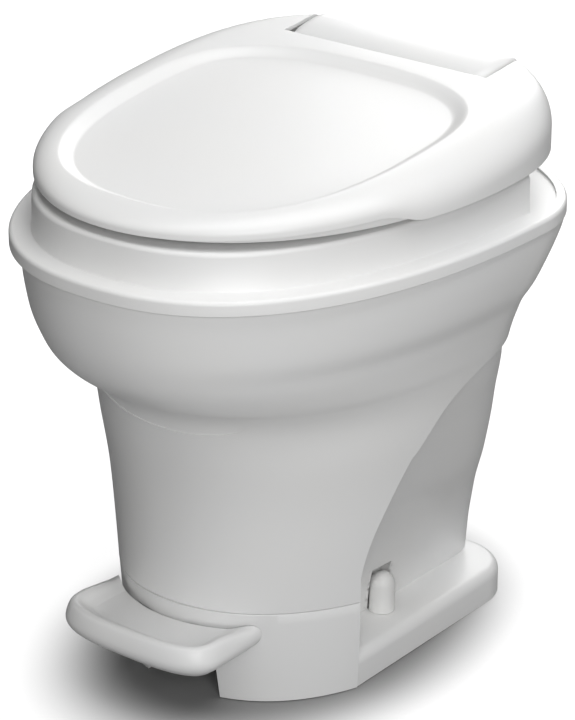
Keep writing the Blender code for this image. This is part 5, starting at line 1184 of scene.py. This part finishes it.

# %% [markdown]
# The stage is a large floor that the camera sees as white, like the world behind it, because it glows for
# the camera. Round the toilet's foot that glow fades out, so the floor there keeps its real soft shadow and
# also shows a ring of painted shade, darker than the open floor even where it is lit.
# A wide lamp overhead lights the lid, one at the front right models the casing, and a weaker one
# behind fills the rear.

# %% Floor, world and lights
FLOOR_REACH = 6
FLOOR_Z = -0.001
floor_shape = bmesh.new()
corners = [floor_shape.verts.new((x * FLOOR_REACH, y * FLOOR_REACH, FLOOR_Z))
           for x, y in ((-1, -1), (1, -1), (1, 1), (-1, 1))]
floor_shape.faces.new(corners)
floor_finish = Finish("floor_paper", Roughness=0.9)
floor_tint = mixed(floor_finish, noise(floor_finish, 3.0), (0.27, 0.27, 0.27, 1), (0.29, 0.29, 0.29, 1))
place = floor_finish.node("TexCoord", {}, {}, output=3)
place = floor_finish.node("VectorMath", {"operation": "MULTIPLY"}, {0: place, 1: (1.4, 1.0, 1.0)})
outwards = floor_finish.node("VectorMath", {"operation": "LENGTH"}, {0: place}, output=1)


def grows(start, end):
    """A share of the floor's light that grows from 0 to 1 between two distances."""
    return floor_finish.node("MapRange", {"interpolation_type": "SMOOTHSTEP"},
                             {"Value": outwards, "From Min": start, "From Max": end})


# Painted shade: the floor's glow is taken away near the toilet, so the floor round its foot is darker as if
# shaded.
glow_past_painted_shade = grows(0.15, 0.27)
far_floor = grows(0.35, 0.95)
seen = floor_finish.node("LightPath", {}, {})
glow_with_painted_shade = mixed(floor_finish, seen * (glow_past_painted_shade * 0.86 + far_floor * 0.14), (0, 0, 0, 1), (1, 1, 1, 1))
floor_finish.shader.inputs["Emission Strength"].default_value = 1.0
floor = mesh_piece("floor", floor_shape, floor_finish.feed(Base_Color=floor_tint, Emission_Color=glow_with_painted_shade))

world = bpy.data.worlds.new("studio")
bpy.context.scene.world = world
world.use_nodes = True
tree = world.node_tree
background = tree.nodes["Background"]
light_path = tree.nodes.new("ShaderNodeLightPath")
seen_ray = Term(tree, light_path.outputs["Is Camera Ray"])
strength = 0.08 + seen_ray * 0.92
background.inputs["Color"].default_value = (1, 1, 1, 1)
tree.links.new(strength.socket, background.inputs["Strength"])


def soft_lamp(name, place, target, width, height, power):
    """A rectangular area lamp that looks at a point."""
    lamp = bpy.data.lights.new(name, "AREA")
    lamp.shape = "RECTANGLE"
    lamp.size = width
    lamp.size_y = height
    lamp.energy = power
    item = bpy.data.objects.new(name, lamp)
    item.location = place
    item.rotation_euler = (Vector(target) - Vector(place)).to_track_quat("-Z", "Y").to_euler()
    bpy.context.scene.collection.objects.link(item)


soft_lamp("top_lamp", (0.45, -0.1, 2.2), (0, 0, 0.3), 2.0, 2.0, 31)
soft_lamp("key_lamp", (1.65, -1.7, 1.0), (0, 0, 0.22), 1.3, 1.3, 28)
soft_lamp("rear_lamp", (-0.8, 2.0, 1.2), (0, 0, 0.22), 1.3, 1.3, 22)
bpy.context.scene.view_settings.view_transform = "Standard"
